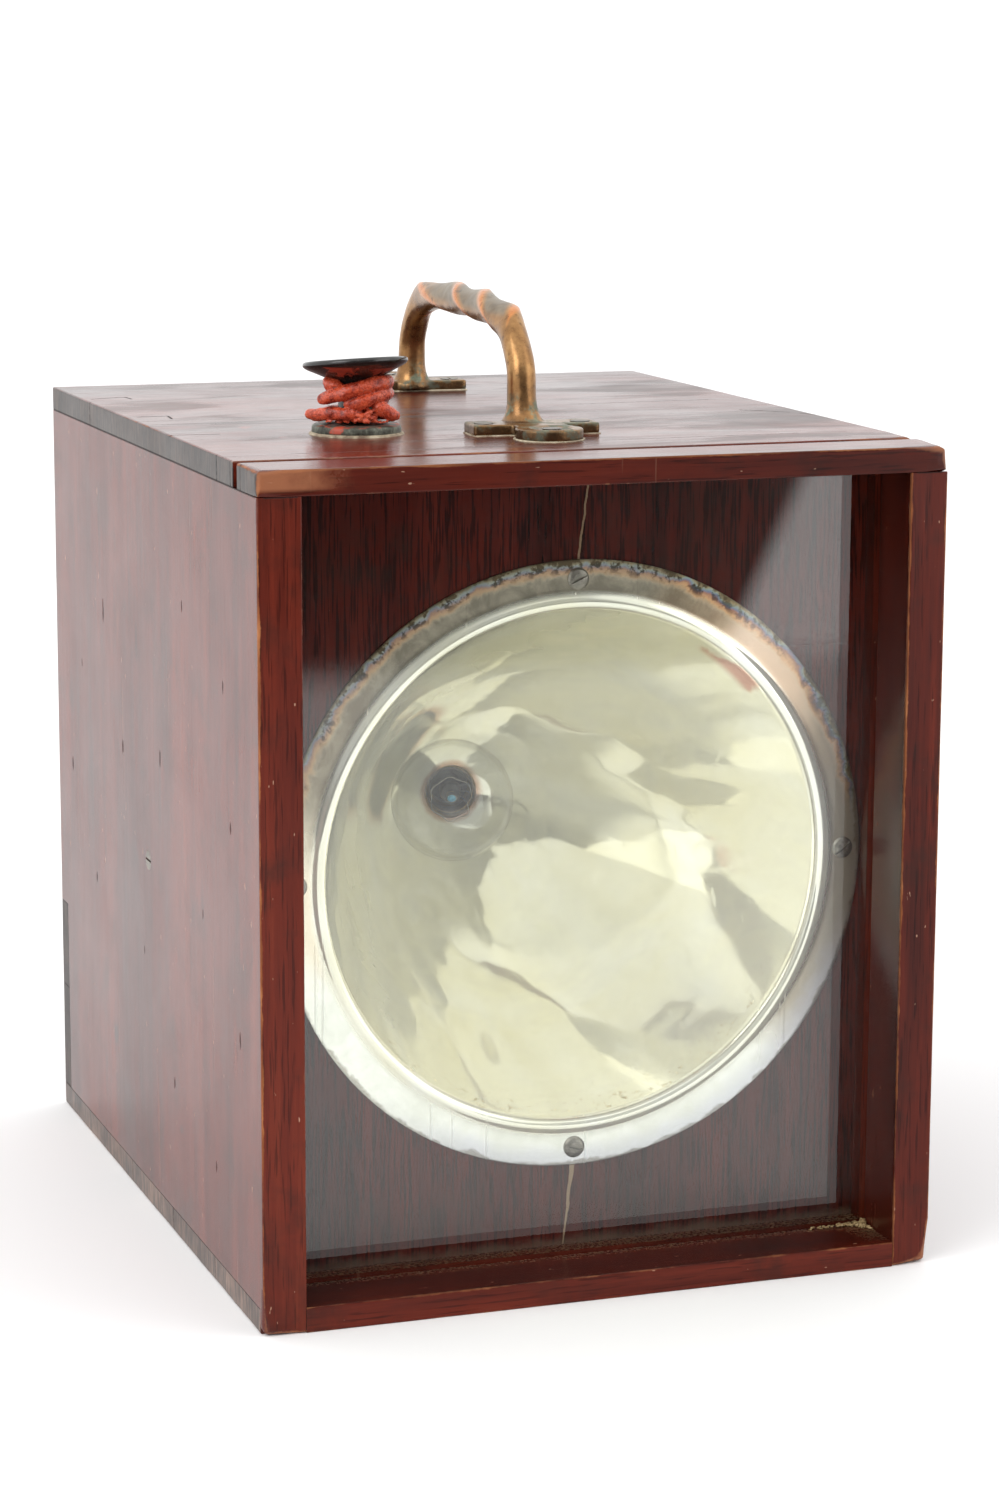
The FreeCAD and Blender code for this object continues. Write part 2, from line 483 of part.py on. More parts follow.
door_knob = revolve([(0, 0), (7.5, 0), (7.0, 2.0), (4.2, 5.0), (4.4, 8.0), (7.6, 11.0), (8.0, 14.0), (6.0, 16.5), (0, 17.3)], (DKX, YR, DKZ), BK)
rear_door = cut(rear_door, sm_t)
TBX, TBZ = -140.7, 225.0
turn_button = box(TBX - 5.0, TBX + 5.0, YR + 0.2, YR + 2.8, TBZ - 19, TBZ)
for dz in (-19, 0):
    turn_button = turn_button.fuse(cyl(5.0, (TBX, YR + 0.2, TBZ + dz), BK, 2.6))
turn_button = turn_button.removeSplitter().cut(cyl(2.35, (TBX, YR - 1, TBZ), BK, 6))
tb_prof = [(0, -2.0), (2.6, -1.8), (4.2, -0.9), (4.4, 0), (2.3, 0), (2.3, 2.95), (1.6, 2.95), (1.6, 17.0), (0, 18.5)]
button_screw = revolve([(r, -s) for r, s in [(0, 2.0), (2.6, 1.8), (4.2, 0.9), (4.4, 0), (2.3, 0), (2.3, -2.9), (1.6, -2.9), (1.6, -17.0), (0, -18.5)]], (TBX, YR + 3.1, TBZ), FR)
button_screw = button_screw.cut(slot_tool((TBX, YR + 5.1, TBZ), (0, -1, 0), 4.4, 30))
side_left = side_left.cut(cyl(1.65, (TBX, YR - 17, TBZ), BK, 20)).cut(cyl(2.35, (TBX, YR - 0.05, TBZ), BK, 2))
button_screw = button_screw

# ---- cable inlet bush in the rear lower board ----------------------------------------------
inlet_bush = revolve([(4.0, YR + 3.0), (9.5, YR + 3.0), (11.0, YR + 1.8), (11.0, YR), (8.0, YR), (8.0, YR - REAR_T - 7.0), (4.0, YR - REAR_T - 7.0)], (INL_X, 0, INL_Z), BK)
inlet_nut = revolve([(8.03, YR - REAR_T - 4.5), (13.0, YR - REAR_T - 4.5), (13.0, YR - REAR_T), (8.03, YR - REAR_T)], (INL_X, 0, INL_Z), BK)

# ---- terminal block and inner wiring ---------------------------------------------------------
TBK = (70.0, 120.0, T_BOT)
block = box(TBK[0] - 20, TBK[0] + 20, TBK[1] - 12, TBK[1] + 12, T_BOT, T_BOT + 14)
term_x = (TBK[0] - 10.0, TBK[0] + 10.0)
block = cut(block, [cyl(2.0, (x, TBK[1] - 13, T_BOT + 8), BK, 26) for x in term_x] + [csk((TBK[0], TBK[1], T_BOT + 14), DN, 3.4, 1.6, 22, grow=0.05)])
block = cut(block, [cyl(1.85, (x, TBK[1], T_BOT + 8), UP, 10) for x in term_x])
terminal_block = block
terminal_tubes = group([cyl(1.95, (x, TBK[1] - 10, T_BOT + 8), BK, 20).cut(cyl(1.25, (x, TBK[1] - 11, T_BOT + 8), BK, 22)) for x in term_x])
block_screw = csk((TBK[0], TBK[1], T_BOT + 14), DN, 3.4, 1.6, 22, slot=10)
bottom_board = bottom_board.cut(csk((TBK[0], TBK[1], T_BOT + 14), DN, 3.4, 1.6, 22, grow=0.05))

WR = 1.2
yb = TBK[1] + 2.0
zt = T_BOT + 8
P_A = (KN_X + 14.3, KN_Y, 317.0)
P_B = (KN_X - 14.3, KN_Y, 317.0)
# from a terminal up to the switch, from the switch to the holder, and from the holder to the other terminal
wire_feed = tube([(term_x[1], yb, zt), (term_x[1], 94.0, zt), (90.0, 76.0, 38.0), (99.0, 64.0, 84.0), (102.0, 58.0, 140.0), (101.0, 54.0, 196.0),
                  (92.0, 44.0, 246.0), (64.0, 24.0, 282.0), (24.0, -2.0, 299.0), (-18.0, -30.0, 301.0), (-46.0, -52.0, 297.0), (-57.7, KN_Y, 304.0),
                  (P_A[0], P_A[1], P_A[2])], WR, "wire_feed")
o1, o1b = lw(0.0, 1.6, -45.6), lw(0.0, 1.6, -74.0)
o2, o2b = lw(0.0, -1.6, -45.6), lw(0.0, -1.6, -74.0)
wire_lamp = tube([(P_B[0], P_B[1], P_B[2]), (P_B[0], P_B[1], 302.0), (-88.0, -46.0, 290.0), (-83.0, -12.0, 285.0), (-70.0, 28.0, 279.0), (-48.0, 66.0, 268.0),
                  (-20.0, 92.0, 248.0), (6.0, 110.0, 222.0), (22.0, 116.0, 194.0), (o1b.x + 1.5, o1b.y + 6.0, o1b.z + 3.0), (o1b.x, o1b.y, o1b.z), (o1.x, o1.y, o1.z)], WR, "wire_lamp")
wire_return = tube([(o2.x, o2.y, o2.z), (o2b.x, o2b.y, o2b.z), (o2b.x + 3.0, o2b.y + 9.0, o2b.z - 10.0), (33.0, 111.0, 128.0), (40.0, 106.0, 92.0), (48.0, 96.0, 56.0), (56.0, 88.0, 32.0),
                    (term_x[0], 94.0, zt), (term_x[0], yb, zt)], WR, "wire_return")

# bearer board with a clearance hole behind the holder
bearer_hole = cyl(15.0, (20.0, bearer_y0 - 1, 172.8), BK, 20)
lamp_bearer = box(X_IL, X_IR, bearer_y0, bearer_y1, batten_z - 14, batten_z + 44)
lamp_bearer = cut(lamp_bearer, bearer_holes + bracket_holes + [bearer_hole])

# fasteners of the case
bottom_screws = group([csk((x, y, 0), UP, 4.2, 2.0, 34, slot=17 * i) for i, (x, y) in enumerate(bottom_pts)])
rear_board_screws = group([csk((x, YR, z), FR, 4.0, 1.9, 32, slot=25 * i) for i, (x, z) in enumerate(rear_pts)])

# ---- write every piece ---------------------------------------------------------------------
NODES = [
    ("side_left", side_left), ("side_right", side_right), ("top_board", top_board), ("top_front_strip", top_front_strip),
    ("bottom_board", bottom_board), ("rear_lower_board", rear_lower_board), ("reflector_board", reflector_board),
    ("board_cleats", board_cleats), ("cleat_screws", group(cleat_screws)), ("bearer_battens", bearer_battens),
    ("lamp_bearer", lamp_bearer), ("bearer_screws", bearer_screws), ("side_screws", side_screws),
    ("bottom_screws", bottom_screws), ("rear_board_screws", rear_board_screws),
    ("front_glass", front_glass),
    ("reflector", reflector), ("reflector_screws", reflector_screws),
    ("lamp_glass", lamp_glass), ("lamp_stem", lamp_stem), ("lamp_filament", lamp_filament), ("lamp_cap", lamp_cap),
    ("lamp_seal", lamp_seal), ("lamp_pins", lamp_pins), ("lamp_contacts", lamp_contacts),
    ("lampholder_shell", lampholder_shell), ("lampholder_insulator", lampholder_insulator),
    ("lampholder_plungers", lampholder_plungers), ("lampholder_nipple", lampholder_nipple), ("lampholder_nut", lampholder_nut),
    ("lampholder_bracket", lampholder_bracket), ("bracket_screws", bracket_screws),
    ("knob_base", knob_base), ("base_seal", base_seal), ("knob", knob), ("knob_spindle", knob_spindle), ("rubber_wrap", rubber_wrap),
    ("switch_body", switch_body), ("switch_screws", switch_screws), ("switch_posts", switch_posts),
    ("switch_rotor", switch_rotor), ("switch_blade", switch_blade),
    ("handle", handle), ("handle_screws", handle_screws),
    ("rear_door", rear_door), ("door_stops", door_stops), ("hinge_leaves_case", group(fixed)), ("hinge_leaves_door", group(moving)),
    ("hinge_pins", group(pins_)), ("hinge_screws_case", group(sf)), ("hinge_screws_door", group(sm)),
    ("door_knob", door_knob), ("turn_button", turn_button), ("turn_button_screw", button_screw),
    ("inlet_bush", inlet_bush), ("inlet_nut", inlet_nut), ("terminal_block", terminal_block), ("terminal_tubes", terminal_tubes),
    ("block_screw", block_screw),
]
# the three wires share one node as separate solids
NODES.append(("inner_wires", group([wire_feed, wire_lamp, wire_return])))
for name, s in NODES:
    save(name, s)
print(len(NODES), "nodes; lamp axis at", L0, "direction", LD)
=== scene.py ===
import bpy, bmesh, json, math
from mathutils import Vector, Matrix, noise


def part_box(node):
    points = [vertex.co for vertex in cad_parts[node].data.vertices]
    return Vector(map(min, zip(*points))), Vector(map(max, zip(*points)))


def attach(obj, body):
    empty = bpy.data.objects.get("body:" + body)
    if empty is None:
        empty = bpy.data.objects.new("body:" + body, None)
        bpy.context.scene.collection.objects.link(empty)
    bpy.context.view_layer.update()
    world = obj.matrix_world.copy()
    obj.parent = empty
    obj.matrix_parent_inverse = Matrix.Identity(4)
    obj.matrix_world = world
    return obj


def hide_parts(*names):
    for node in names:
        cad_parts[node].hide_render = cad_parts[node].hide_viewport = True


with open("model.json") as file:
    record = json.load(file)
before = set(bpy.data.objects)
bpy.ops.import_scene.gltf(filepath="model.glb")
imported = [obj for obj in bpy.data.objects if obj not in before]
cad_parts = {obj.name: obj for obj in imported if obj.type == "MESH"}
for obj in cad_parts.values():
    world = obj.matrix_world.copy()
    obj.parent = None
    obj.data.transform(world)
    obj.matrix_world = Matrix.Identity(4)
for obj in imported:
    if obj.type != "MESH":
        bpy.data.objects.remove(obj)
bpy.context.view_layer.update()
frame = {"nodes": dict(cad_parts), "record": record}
N = frame["nodes"]
SC = bpy.context.scene
SC.view_settings.view_transform = "Standard"
SC.view_settings.look = "None"
MM = 0.001

# ------------------------------------------------------------------ camera
AZ, EL, ROLL = math.radians(-19.327), math.radians(10.935), math.radians(0.224)
back = Vector((math.sin(AZ) * math.cos(EL), -math.cos(AZ) * math.cos(EL), math.sin(EL)))
right = Vector((math.cos(AZ), math.sin(AZ), 0))
up = back.cross(right)
r2 = math.cos(ROLL) * right + math.sin(ROLL) * up
u2 = -math.sin(ROLL) * right + math.cos(ROLL) * up
cd = bpy.data.cameras.new("camera")
cam = bpy.data.objects.new("camera", cd)
SC.collection.objects.link(cam)
m = Matrix.Identity(4)
for i in range(3):
    m[i][0], m[i][1], m[i][2] = r2[i], u2[i], back[i]
m.translation = Vector((-0.54527, -1.59807, 0.52973))
cam.matrix_world = m
cd.sensor_width = 36.0
cd.sensor_fit = "AUTO"
cd.lens = 3758.9 / 1499 * 36.0
cd.clip_start = 0.05
cd.clip_end = 60.0
SC.camera = cam


# ------------------------------------------------------------------ material helpers
class Mat:
    """A small builder for procedural materials."""

    def __init__(self, name):
        self.m = bpy.data.materials.new(name)
        self.m.use_nodes = True
        self.t = self.m.node_tree
        self.t.nodes.clear()
        self.out = self.t.nodes.new("ShaderNodeOutputMaterial")
        self.b = self.t.nodes.new("ShaderNodeBsdfPrincipled")
        self.t.links.new(self.b.outputs[0], self.out.inputs[0])
        self.tc = None

    def n(self, kind, **kw):
        x = self.t.nodes.new(kind)
        for k, v in kw.items():
            setattr(x, k, v)
        return x

    def l(self, a, b):
        self.t.links.new(a, b)

    def coord(self, out="Object"):
        if self.tc is None:
            self.tc = self.n("ShaderNodeTexCoord")
        return self.tc.outputs[out]

    def obj(self):
        return self.coord("Object")

    def attr(self, name):
        x = self.n("ShaderNodeAttribute")
        x.attribute_name = name
        return x.outputs["Fac"]

    def mapping(self, src, scale=(1, 1, 1), loc=(0, 0, 0), rot=(0, 0, 0)):
        x = self.n("ShaderNodeMapping")
        x.inputs["Scale"].default_value = scale
        x.inputs["Location"].default_value = loc
        x.inputs["Rotation"].default_value = rot
        self.l(src, x.inputs["Vector"])
        return x.outputs[0]

    def comb(self, x, y, z):
        c = self.n("ShaderNodeCombineXYZ")
        for i, v in enumerate((x, y, z)):
            if isinstance(v, (int, float)):
                c.inputs[i].default_value = v
            else:
                self.l(v, c.inputs[i])
        return c.outputs[0]

    def noise(self, vec, scale, detail=4.0, rough=0.55, dist=0.0, out="Fac"):
        x = self.n("ShaderNodeTexNoise")
        x.inputs["Scale"].default_value = scale
        x.inputs["Detail"].default_value = detail
        x.inputs["Roughness"].default_value = rough
        x.inputs["Distortion"].default_value = dist
        self.l(vec, x.inputs["Vector"])
        return x.outputs[out]

    def voronoi(self, vec, scale, feature="F1", rnd=1.0, out="Distance"):
        x = self.n("ShaderNodeTexVoronoi", feature=feature)
        x.inputs["Scale"].default_value = scale
        x.inputs["Randomness"].default_value = rnd
        self.l(vec, x.inputs["Vector"])
        return x.outputs[out]

    def ramp(self, fac, stops, interp="LINEAR"):
        x = self.n("ShaderNodeValToRGB")
        x.color_ramp.interpolation = interp
        e = x.color_ramp.elements
        while len(e) > 1:
            e.remove(e[-1])
        first = True
        for p, c in stops:
            c = c if isinstance(c, (tuple, list)) else (c, c, c)
            if first:
                e[0].position = p
                e[0].color = (*c, 1)
                first = False
            else:
                k = e.new(p)
                k.color = (*c, 1)
        self.l(fac, x.inputs[0])
        return x.outputs[0]

    def math(self, op, a, b=None, c=None, clamp=False):
        x = self.n("ShaderNodeMath", operation=op, use_clamp=clamp)
        for i, v in enumerate((a, b, c)):
            if v is None:
                continue
            if isinstance(v, (int, float)):
                x.inputs[i].default_value = v
            else:
                self.l(v, x.inputs[i])
        return x.outputs[0]

    def add(self, a, b):
        return self.math("ADD", a, b)

    def mul(self, a, b):
        return self.math("MULTIPLY", a, b)

    def mix(self, fac, a, b, blend="MIX"):
        x = self.n("ShaderNodeMix", data_type="RGBA", blend_type=blend)
        for i, v in ((0, fac), (6, a), (7, b)):
            if isinstance(v, (int, float)):
                x.inputs[i].default_value = v
            elif isinstance(v, tuple):
                x.inputs[i].default_value = (*v, 1)
            else:
                self.l(v, x.inputs[i])
        return x.outputs[2]

    def sep(self, vec):
        x = self.n("ShaderNodeSeparateXYZ")
        self.l(vec, x.inputs[0])
        return x.outputs

    def rng(self, v, a0, a1, b0=0.0, b1=1.0, smooth=True):
        x = self.n("ShaderNodeMapRange", interpolation_type="SMOOTHSTEP" if smooth else "LINEAR")
        for i, k in enumerate((a0, a1, b0, b1)):
            x.inputs[1 + i].default_value = k
        self.l(v, x.inputs[0])
        return x.outputs[0]

    def seg(self, u, v, a, b):
        """Distance from the point (u, v) to the segment a-b, all in metres."""
        bx, by = b[0] - a[0], b[1] - a[1]
        ll = bx * bx + by * by
        du = self.math("SUBTRACT", u, a[0])
        dv = self.math("SUBTRACT", v, a[1])
        t = self.math("DIVIDE", self.add(self.mul(du, bx), self.mul(dv, by)), ll, clamp=True)
        ex = self.math("SUBTRACT", du, self.mul(t, bx))
        ey = self.math("SUBTRACT", dv, self.mul(t, by))
        return self.math("SQRT", self.add(self.mul(ex, ex), self.mul(ey, ey)))

    def spot(self, u, v, c):
        return self.seg(u, v, c, (c[0] + 1e-4, c[1]))

    def least(self, items):
        r = items[0]
        for i in items[1:]:
            r = self.math("MINIMUM", r, i)
        return r

    def bump(self, height, strength=0.3, distance=0.001, normal=None):
        x = self.n("ShaderNodeBump")
        x.inputs["Strength"].default_value = strength
        x.inputs["Distance"].default_value = distance
        self.l(height, x.inputs["Height"])
        if normal is not None:
            self.l(normal, x.inputs["Normal"])
        return x.outputs[0]

    def set(self, **kw):
        for k, v in kw.items():
            s = self.b.inputs[k.replace("_", " ")]
            if isinstance(v, (int, float)):
                s.default_value = v
            elif isinstance(v, tuple):
                s.default_value = (*v, 1) if len(v) == 3 and s.type == "RGBA" else v
            else:
                self.l(v, s)


def assign(o, mat):
    o.data.materials.clear()
    o.data.materials.append(mat)


def add_mesh(name, verts, faces, mat, body="case", stands_for=(), angle=35.0):
    me = bpy.data.meshes.new(name)
    me.from_pydata(verts, [], faces)
    me.validate()
    o = bpy.data.objects.new(name, me)
    SC.collection.objects.link(o)
    finish_piece(o, mat, body, stands_for, angle)
    return o


def finish_piece(o, mat, body="case", stands_for=(), angle=35.0):
    me = o.data
    if mat is not None:
        me.materials.clear()
        me.materials.append(mat)
    me.shade_smooth()
    if angle is not None:
        me.set_sharp_from_angle(angle=math.radians(angle))
    if body:
        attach(o, body)
    if stands_for:
        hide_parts(*([stands_for] if isinstance(stands_for, str) else list(stands_for)))


def n1(x, y=0.0, z=0.0):
    return noise.noise(Vector((x, y, z)))


# ------------------------------------------------------------------ mahogany
def wood(name, grain, seed, end=False, base=1.0, rough=0.17, hue=(1, 1, 1), extra=None, dull=0.0, bumpk=1.0, shade=None, ends_lift=1.0, hairs=0.35, spec=0.5, pore=(0.34, 0.43, 0.40), front=None):
    """French-polished mahogany. grain: the axis its fibres run along. end: faces square to the grain show end grain."""
    M = Mat(name)
    p = M.obj()

    def along(a, b, **kw):
        s = [a, a, a]
        s[grain] = b
        return M.mapping(p, scale=tuple(s), loc=(seed, seed * 1.7, seed * 0.6), **kw)

    big = M.noise(along(13.0, 2.4), 1.0, 3.0, 0.55, 0.5)
    band = M.noise(along(75.0, 3.4), 1.0, 5.0, 0.62, 0.5)
    fine = M.noise(along(330.0, 13.0), 1.0, 4.0, 0.6, 0.25)
    pores = M.noise(along(900.0, 42.0), 1.0, 2.0, 0.5, 0.1)
    f = M.add(M.mul(big, 0.42), M.add(M.mul(band, 0.38), M.mul(fine, 0.24)))

    def c(r, g, b):
        return (r * base * hue[0], g * base * hue[1], b * base * hue[2])

    col = M.ramp(f, [(0.36, c(0.036, 0.0064, 0.0044)), (0.47, c(0.084, 0.0112, 0.0058)), (0.56, c(0.126, 0.0165, 0.0075)), (0.70, c(0.195, 0.0330, 0.0140))])
    pm = M.ramp(pores, [(pore[0], pore[2]), (pore[1], 1.0)])
    col = M.mix(0.8, col, M.mix(1.0, col, pm, "MULTIPLY"))
    # dull patches, grime and tiny pale chips
    blot = M.noise(M.mapping(p, loc=(seed, 2, 5)), 16.0, 5.0, 0.62, 0.3)
    grime = M.ramp(M.noise(M.mapping(p, loc=(9, seed, 1)), 42.0, 4.0, 0.6), [(0.56, 0.0), (0.72, 1.0)])
    col = M.mix(M.mul(grime, 0.42), col, (0.020, 0.011, 0.008))
    murk = M.rng(M.noise(M.mapping(p, loc=(seed, 7, 3)), 21.0, 5.0, 0.65, 0.4), 0.50, 0.68)
    col = M.mix(M.mul(murk, 0.40), col, (0.026, 0.010, 0.007))
    nick = M.ramp(M.noise(along(420.0, 150.0), 1.0, 2.0, 0.5), [(0.738, 0.0), (0.758, 1.0)])
    col = M.mix(M.mul(nick, 0.80 if hairs else 0.0), col, (0.46, 0.26, 0.17))
    # long hair scratches, set at several angles
    scr = []
    for k, (rx, ry, rz) in enumerate(((0.25, 0.1, 0.2), (1.1, 0.5, 0.3), (-0.5, 0.9, 1.2))):
        v = M.mapping(p, scale=(300.0, 300.0, 6.0), rot=(rx, ry, rz), loc=(seed + k, k * 3.0, 0))
        scr.append(M.ramp(M.noise(v, 1.0, 1.0, 0.4, 0.0), [(0.765, 0.0), (0.785, 1.0)]))
    s_all = M.math("MAXIMUM", scr[0], M.math("MAXIMUM", scr[1], scr[2]))
    col = M.mix(M.mul(s_all, hairs), col, (0.24, 0.10, 0.06))
    height = M.add(M.mul(pores, 0.35), M.add(M.mul(fine, 0.30), M.mul(band, 0.35)))
    rr = M.add(M.mul(blot, 0.22), rough - 0.10 + dull)
    rr = M.add(rr, M.mul(fine, 0.08))
    if end:
        # end grain: browner, greyer, with rays square to the board's face
        nx = M.math("ABSOLUTE", M.sep(M.coord("Normal"))[grain])
        em = M.rng(nx, 0.72, 0.9)
        ax = [520.0, 520.0, 520.0]
        ax[2] = 75.0
        ax[grain] = 40.0
        rays = M.noise(M.mapping(p, scale=tuple(ax), loc=(seed, 0, 0)), 1.0, 4.0, 0.6, 0.2)
        patches = M.noise(M.mapping(p, loc=(1, seed, 1)), 26.0, 4.0, 0.6)
        ec = M.ramp(M.add(M.mul(rays, 0.6), M.mul(patches, 0.4)), [(k0, tuple(q * ends_lift for q in c0)) for k0, c0 in ((0.38, (0.014, 0.011, 0.010)), (0.50, (0.040, 0.027, 0.022)), (0.62, (0.085, 0.055, 0.042)))])
        col = M.mix(em, col, ec)
        rr = M.add(rr, M.mul(em, 0.16))
        height = M.mix(em, height, rays)
    wear = M.attr("wear")
    seam = M.attr("seam")
    wn = M.noise(p, 75.0, 5.0, 0.68)
    wn2 = M.noise(M.mapping(p, loc=(seed, 0, 3)), 11.0, 2.0, 0.5)
    wf = M.add(wear, M.mul(M.math("SUBTRACT", M.add(M.mul(wn, 0.6), M.mul(wn2, 0.5)), 0.55), 2.2))
    wm = M.mul(M.rng(wf, 0.55, 0.85), M.rng(wear, 0.04, 0.3))
    raw = M.ramp(M.noise(along(260.0, 40.0), 1.0, 4.0, 0.6), [(0.30, (0.13, 0.038, 0.014)), (0.5, (0.27, 0.085, 0.026)), (0.72, (0.47, 0.19, 0.070))])
    col = M.mix(M.mul(wm, 0.82), col, raw)
    rr = M.add(rr, M.mul(wm, 0.30))
    dark = M.math("MULTIPLY", M.rng(seam, 0.25, 0.85), 0.85)
    col = M.mix(dark, col, (0.010, 0.006, 0.005))
    rr = M.add(rr, M.mul(dark, 0.35))
    b1 = M.bump(height, 0.16 * bumpk, 0.00035)
    b2 = M.bump(M.noise(along(24.0, 6.0), 1.0, 2.0, 0.5), 0.10 * bumpk, 0.0016, b1)
    hollow = M.math("SUBTRACT", 1.0, M.math("MAXIMUM", M.mul(nick, min(1.0, hairs * 3)), M.mul(s_all, hairs * 1.6)))
    b3 = M.bump(hollow, 0.25, 0.00025, b2)
    if shade:
        # painted shade: the faces picked by (axis, from, to, factor) are darkened by factor; these are faces inside the
        # opening and the front strip's front face
        for ax_, s0, s1, k_ in shade:
            inside = M.rng(M.sep(p)[ax_], s0, s1)
            col = M.mix(inside, col, M.mix(1.0, col, (k_, k_, k_), "MULTIPLY"))
    M.col, M.rough_v, M.nrm, M.p = col, rr, b3, p
    if extra:
        extra(M)
    M.set(Base_Color=M.col, Roughness=M.rough_v, Normal=M.nrm, IOR=1.43, Specular_IOR_Level=spec)
    if front is not None:
        # the handled front edges have lost most of their polish
        M.set(Specular_IOR_Level=M.rng(M.sep(M.p)[1], -0.1816, -0.1810, front, spec))
    return M.m


def crack(M, u, v, pts, width=0.00035, depth=1.0, mask=None):
    """A dark split along the polyline pts in the plane (u, v)."""
    wob = M.mul(M.math("SUBTRACT", M.noise(M.p, 420.0, 3.0, 0.6), 0.5), 0.0012)
    d = M.least([M.seg(u, v, pts[i], pts[i + 1]) for i in range(len(pts) - 1)])
    d = M.add(d, wob)
    k = M.rng(d, width * 0.6, width * 2.0, 1.0, 0.0)
    if mask is not None:
        k = M.mul(k, mask)
    M.col = M.mix(M.mul(k, 0.92 * depth), M.col, (0.006, 0.004, 0.003))
    M.nrm = M.bump(M.math("SUBTRACT", 1.0, k), 0.5, 0.0006, M.nrm)
    M.rough_v = M.add(M.rough_v, M.mul(k, 0.4))


def blotch(M, u, v, c, r, color, amount=0.7, mask=None, squash=(1.0, 1.0), edge=0.5):
    su = M.mul(M.math("SUBTRACT", u, c[0]), 1.0 / squash[0])
    sv = M.mul(M.math("SUBTRACT", v, c[1]), 1.0 / squash[1])
    d = M.math("SQRT", M.add(M.mul(su, su), M.mul(sv, sv)))
    d = M.add(d, M.mul(M.math("SUBTRACT", M.noise(M.p, 260.0, 4.0, 0.65), 0.5), r * 1.1))
    k = M.rng(d, r * edge, r, 1.0, 0.0)
    if mask is not None:
        k = M.mul(k, mask)
    M.col = M.mix(M.mul(k, amount), M.col, color)
    return k


# ------------------------------------------------------------------ boards with worn arrises
OFFS = (0.00025, 0.0006, 0.0011, 0.0018, 0.0030, 0.0052)


def board(node, mat, arris, step=0.010, long_axis=0, body="case", corner=None):
    """The board's CAD shape with its long arrises rounded and worn.
    arris: {(axis, side_i, side_j): (radius, wear)}, where i < j are the other two axes and a side is -1 or 1.
    Arrises that aren't listed are close seams. corner: [(point, reach, radius)] for corners knocked round."""
    me = N[node].data.copy()
    me.name = node + "_wood"
    bm = bmesh.new()
    bm.from_mesh(me)
    bmesh.ops.remove_doubles(bm, verts=bm.verts[:], dist=2e-6)
    lo, hi = [Vector(v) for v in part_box(node)]

    def split(co, no):
        bmesh.ops.bisect_plane(bm, geom=bm.verts[:] + bm.edges[:] + bm.faces[:], dist=1e-7, plane_co=co, plane_no=no)

    for a in range(3):
        no = Vector((0, 0, 0))
        no[a] = 1.0
        if hi[a] - lo[a] > 0.03:
            n = int((hi[a] - lo[a]) / (step if a == long_axis else step * 2.2))
            for k in range(1, n):
                co = Vector((0, 0, 0))
                co[a] = lo[a] + (hi[a] - lo[a]) * k / n
                split(co, no)
        for o in OFFS:
            for q in (lo[a] + o, hi[a] - o):
                co = Vector((0, 0, 0))
                co[a] = q
                split(co, no)
    # long thin triangles are turned into quads, which keeps the mesh tidy
    bmesh.ops.join_triangles(bm, faces=[f for f in bm.faces if len(f.verts) == 3], angle_face_threshold=0.02, angle_shape_threshold=0.7)
    bm.verts.ensure_lookup_table()
    wl = bm.verts.layers.float.new("wear")
    sl = bm.verts.layers.float.new("seam")
    seed = (sum(ord(ch) for ch in node) % 97) * 0.37
    for v in bm.verts:
        co = v.co.copy()
        d = [(co[a] - lo[a], hi[a] - co[a]) for a in range(3)]
        side = [-1 if d[a][0] < d[a][1] else 1 for a in range(3)]
        dist = [max(0.0, min(d[a])) for a in range(3)]
        wear = 0.0
        seam = 0.0
        for axis in range(3):
            i, j = [a for a in range(3) if a != axis]
            key = (axis, side[i], side[j])
            t = co[axis] * 38.0 + seed + axis * 7 + side[i] * 3 + side[j] * 11
            if key in arris:
                r0, w0 = arris[key]
                r = r0 * (0.75 + 0.75 * abs(n1(t * 0.6, 3.1)) + 0.9 * max(0.0, n1(t * 2.2, 9.3) - 0.15))
                w = w0
            else:
                r, w = 0.00026, 0.0
            if corner:
                for cp, reach, rad in corner:
                    q = (Vector(cp) - co).length
                    if q < reach:
                        k = 1.0 - (q / reach) ** 2
                        r = max(r, rad * k)
                        w = max(w, 1.0 * k)
            reach = max(r * 1.15, 0.0013)
            mx = max(dist[i], dist[j])
            if w > 0:
                wear = max(wear, w * max(0.0, 1.0 - mx / (reach * 1.5)))
            elif mx < 0.0009:
                seam = max(seam, 1.0 - mx / 0.0009)
            if dist[i] < r and dist[j] < r:
                a_, b_ = r - dist[i], r - dist[j]
                L = math.hypot(a_, b_)
                if L > r:
                    a_, b_ = a_ * r / L, b_ * r / L
                    dist[i], dist[j] = r - a_, r - b_
        for a in range(3):
            v.co[a] = lo[a] + dist[a] if side[a] < 0 else hi[a] - dist[a]
        v[wl] = wear
        v[sl] = seam if wear < 0.05 else 0.0
    bmesh.ops.dissolve_degenerate(bm, dist=1e-6, edges=bm.edges[:])
    bm.normal_update()
    bm.to_mesh(me)
    bm.free()
    o = bpy.data.objects.new(node + "_aged", me)
    SC.collection.objects.link(o)
    finish_piece(o, mat, body, node, 30.0)
    for f in o.data.polygons:
        if max(abs(c) for c in f.normal) > 0.99999:
            f.use_smooth = False
    return o


RAW_RED = (0.36, 0.035, 0.018)


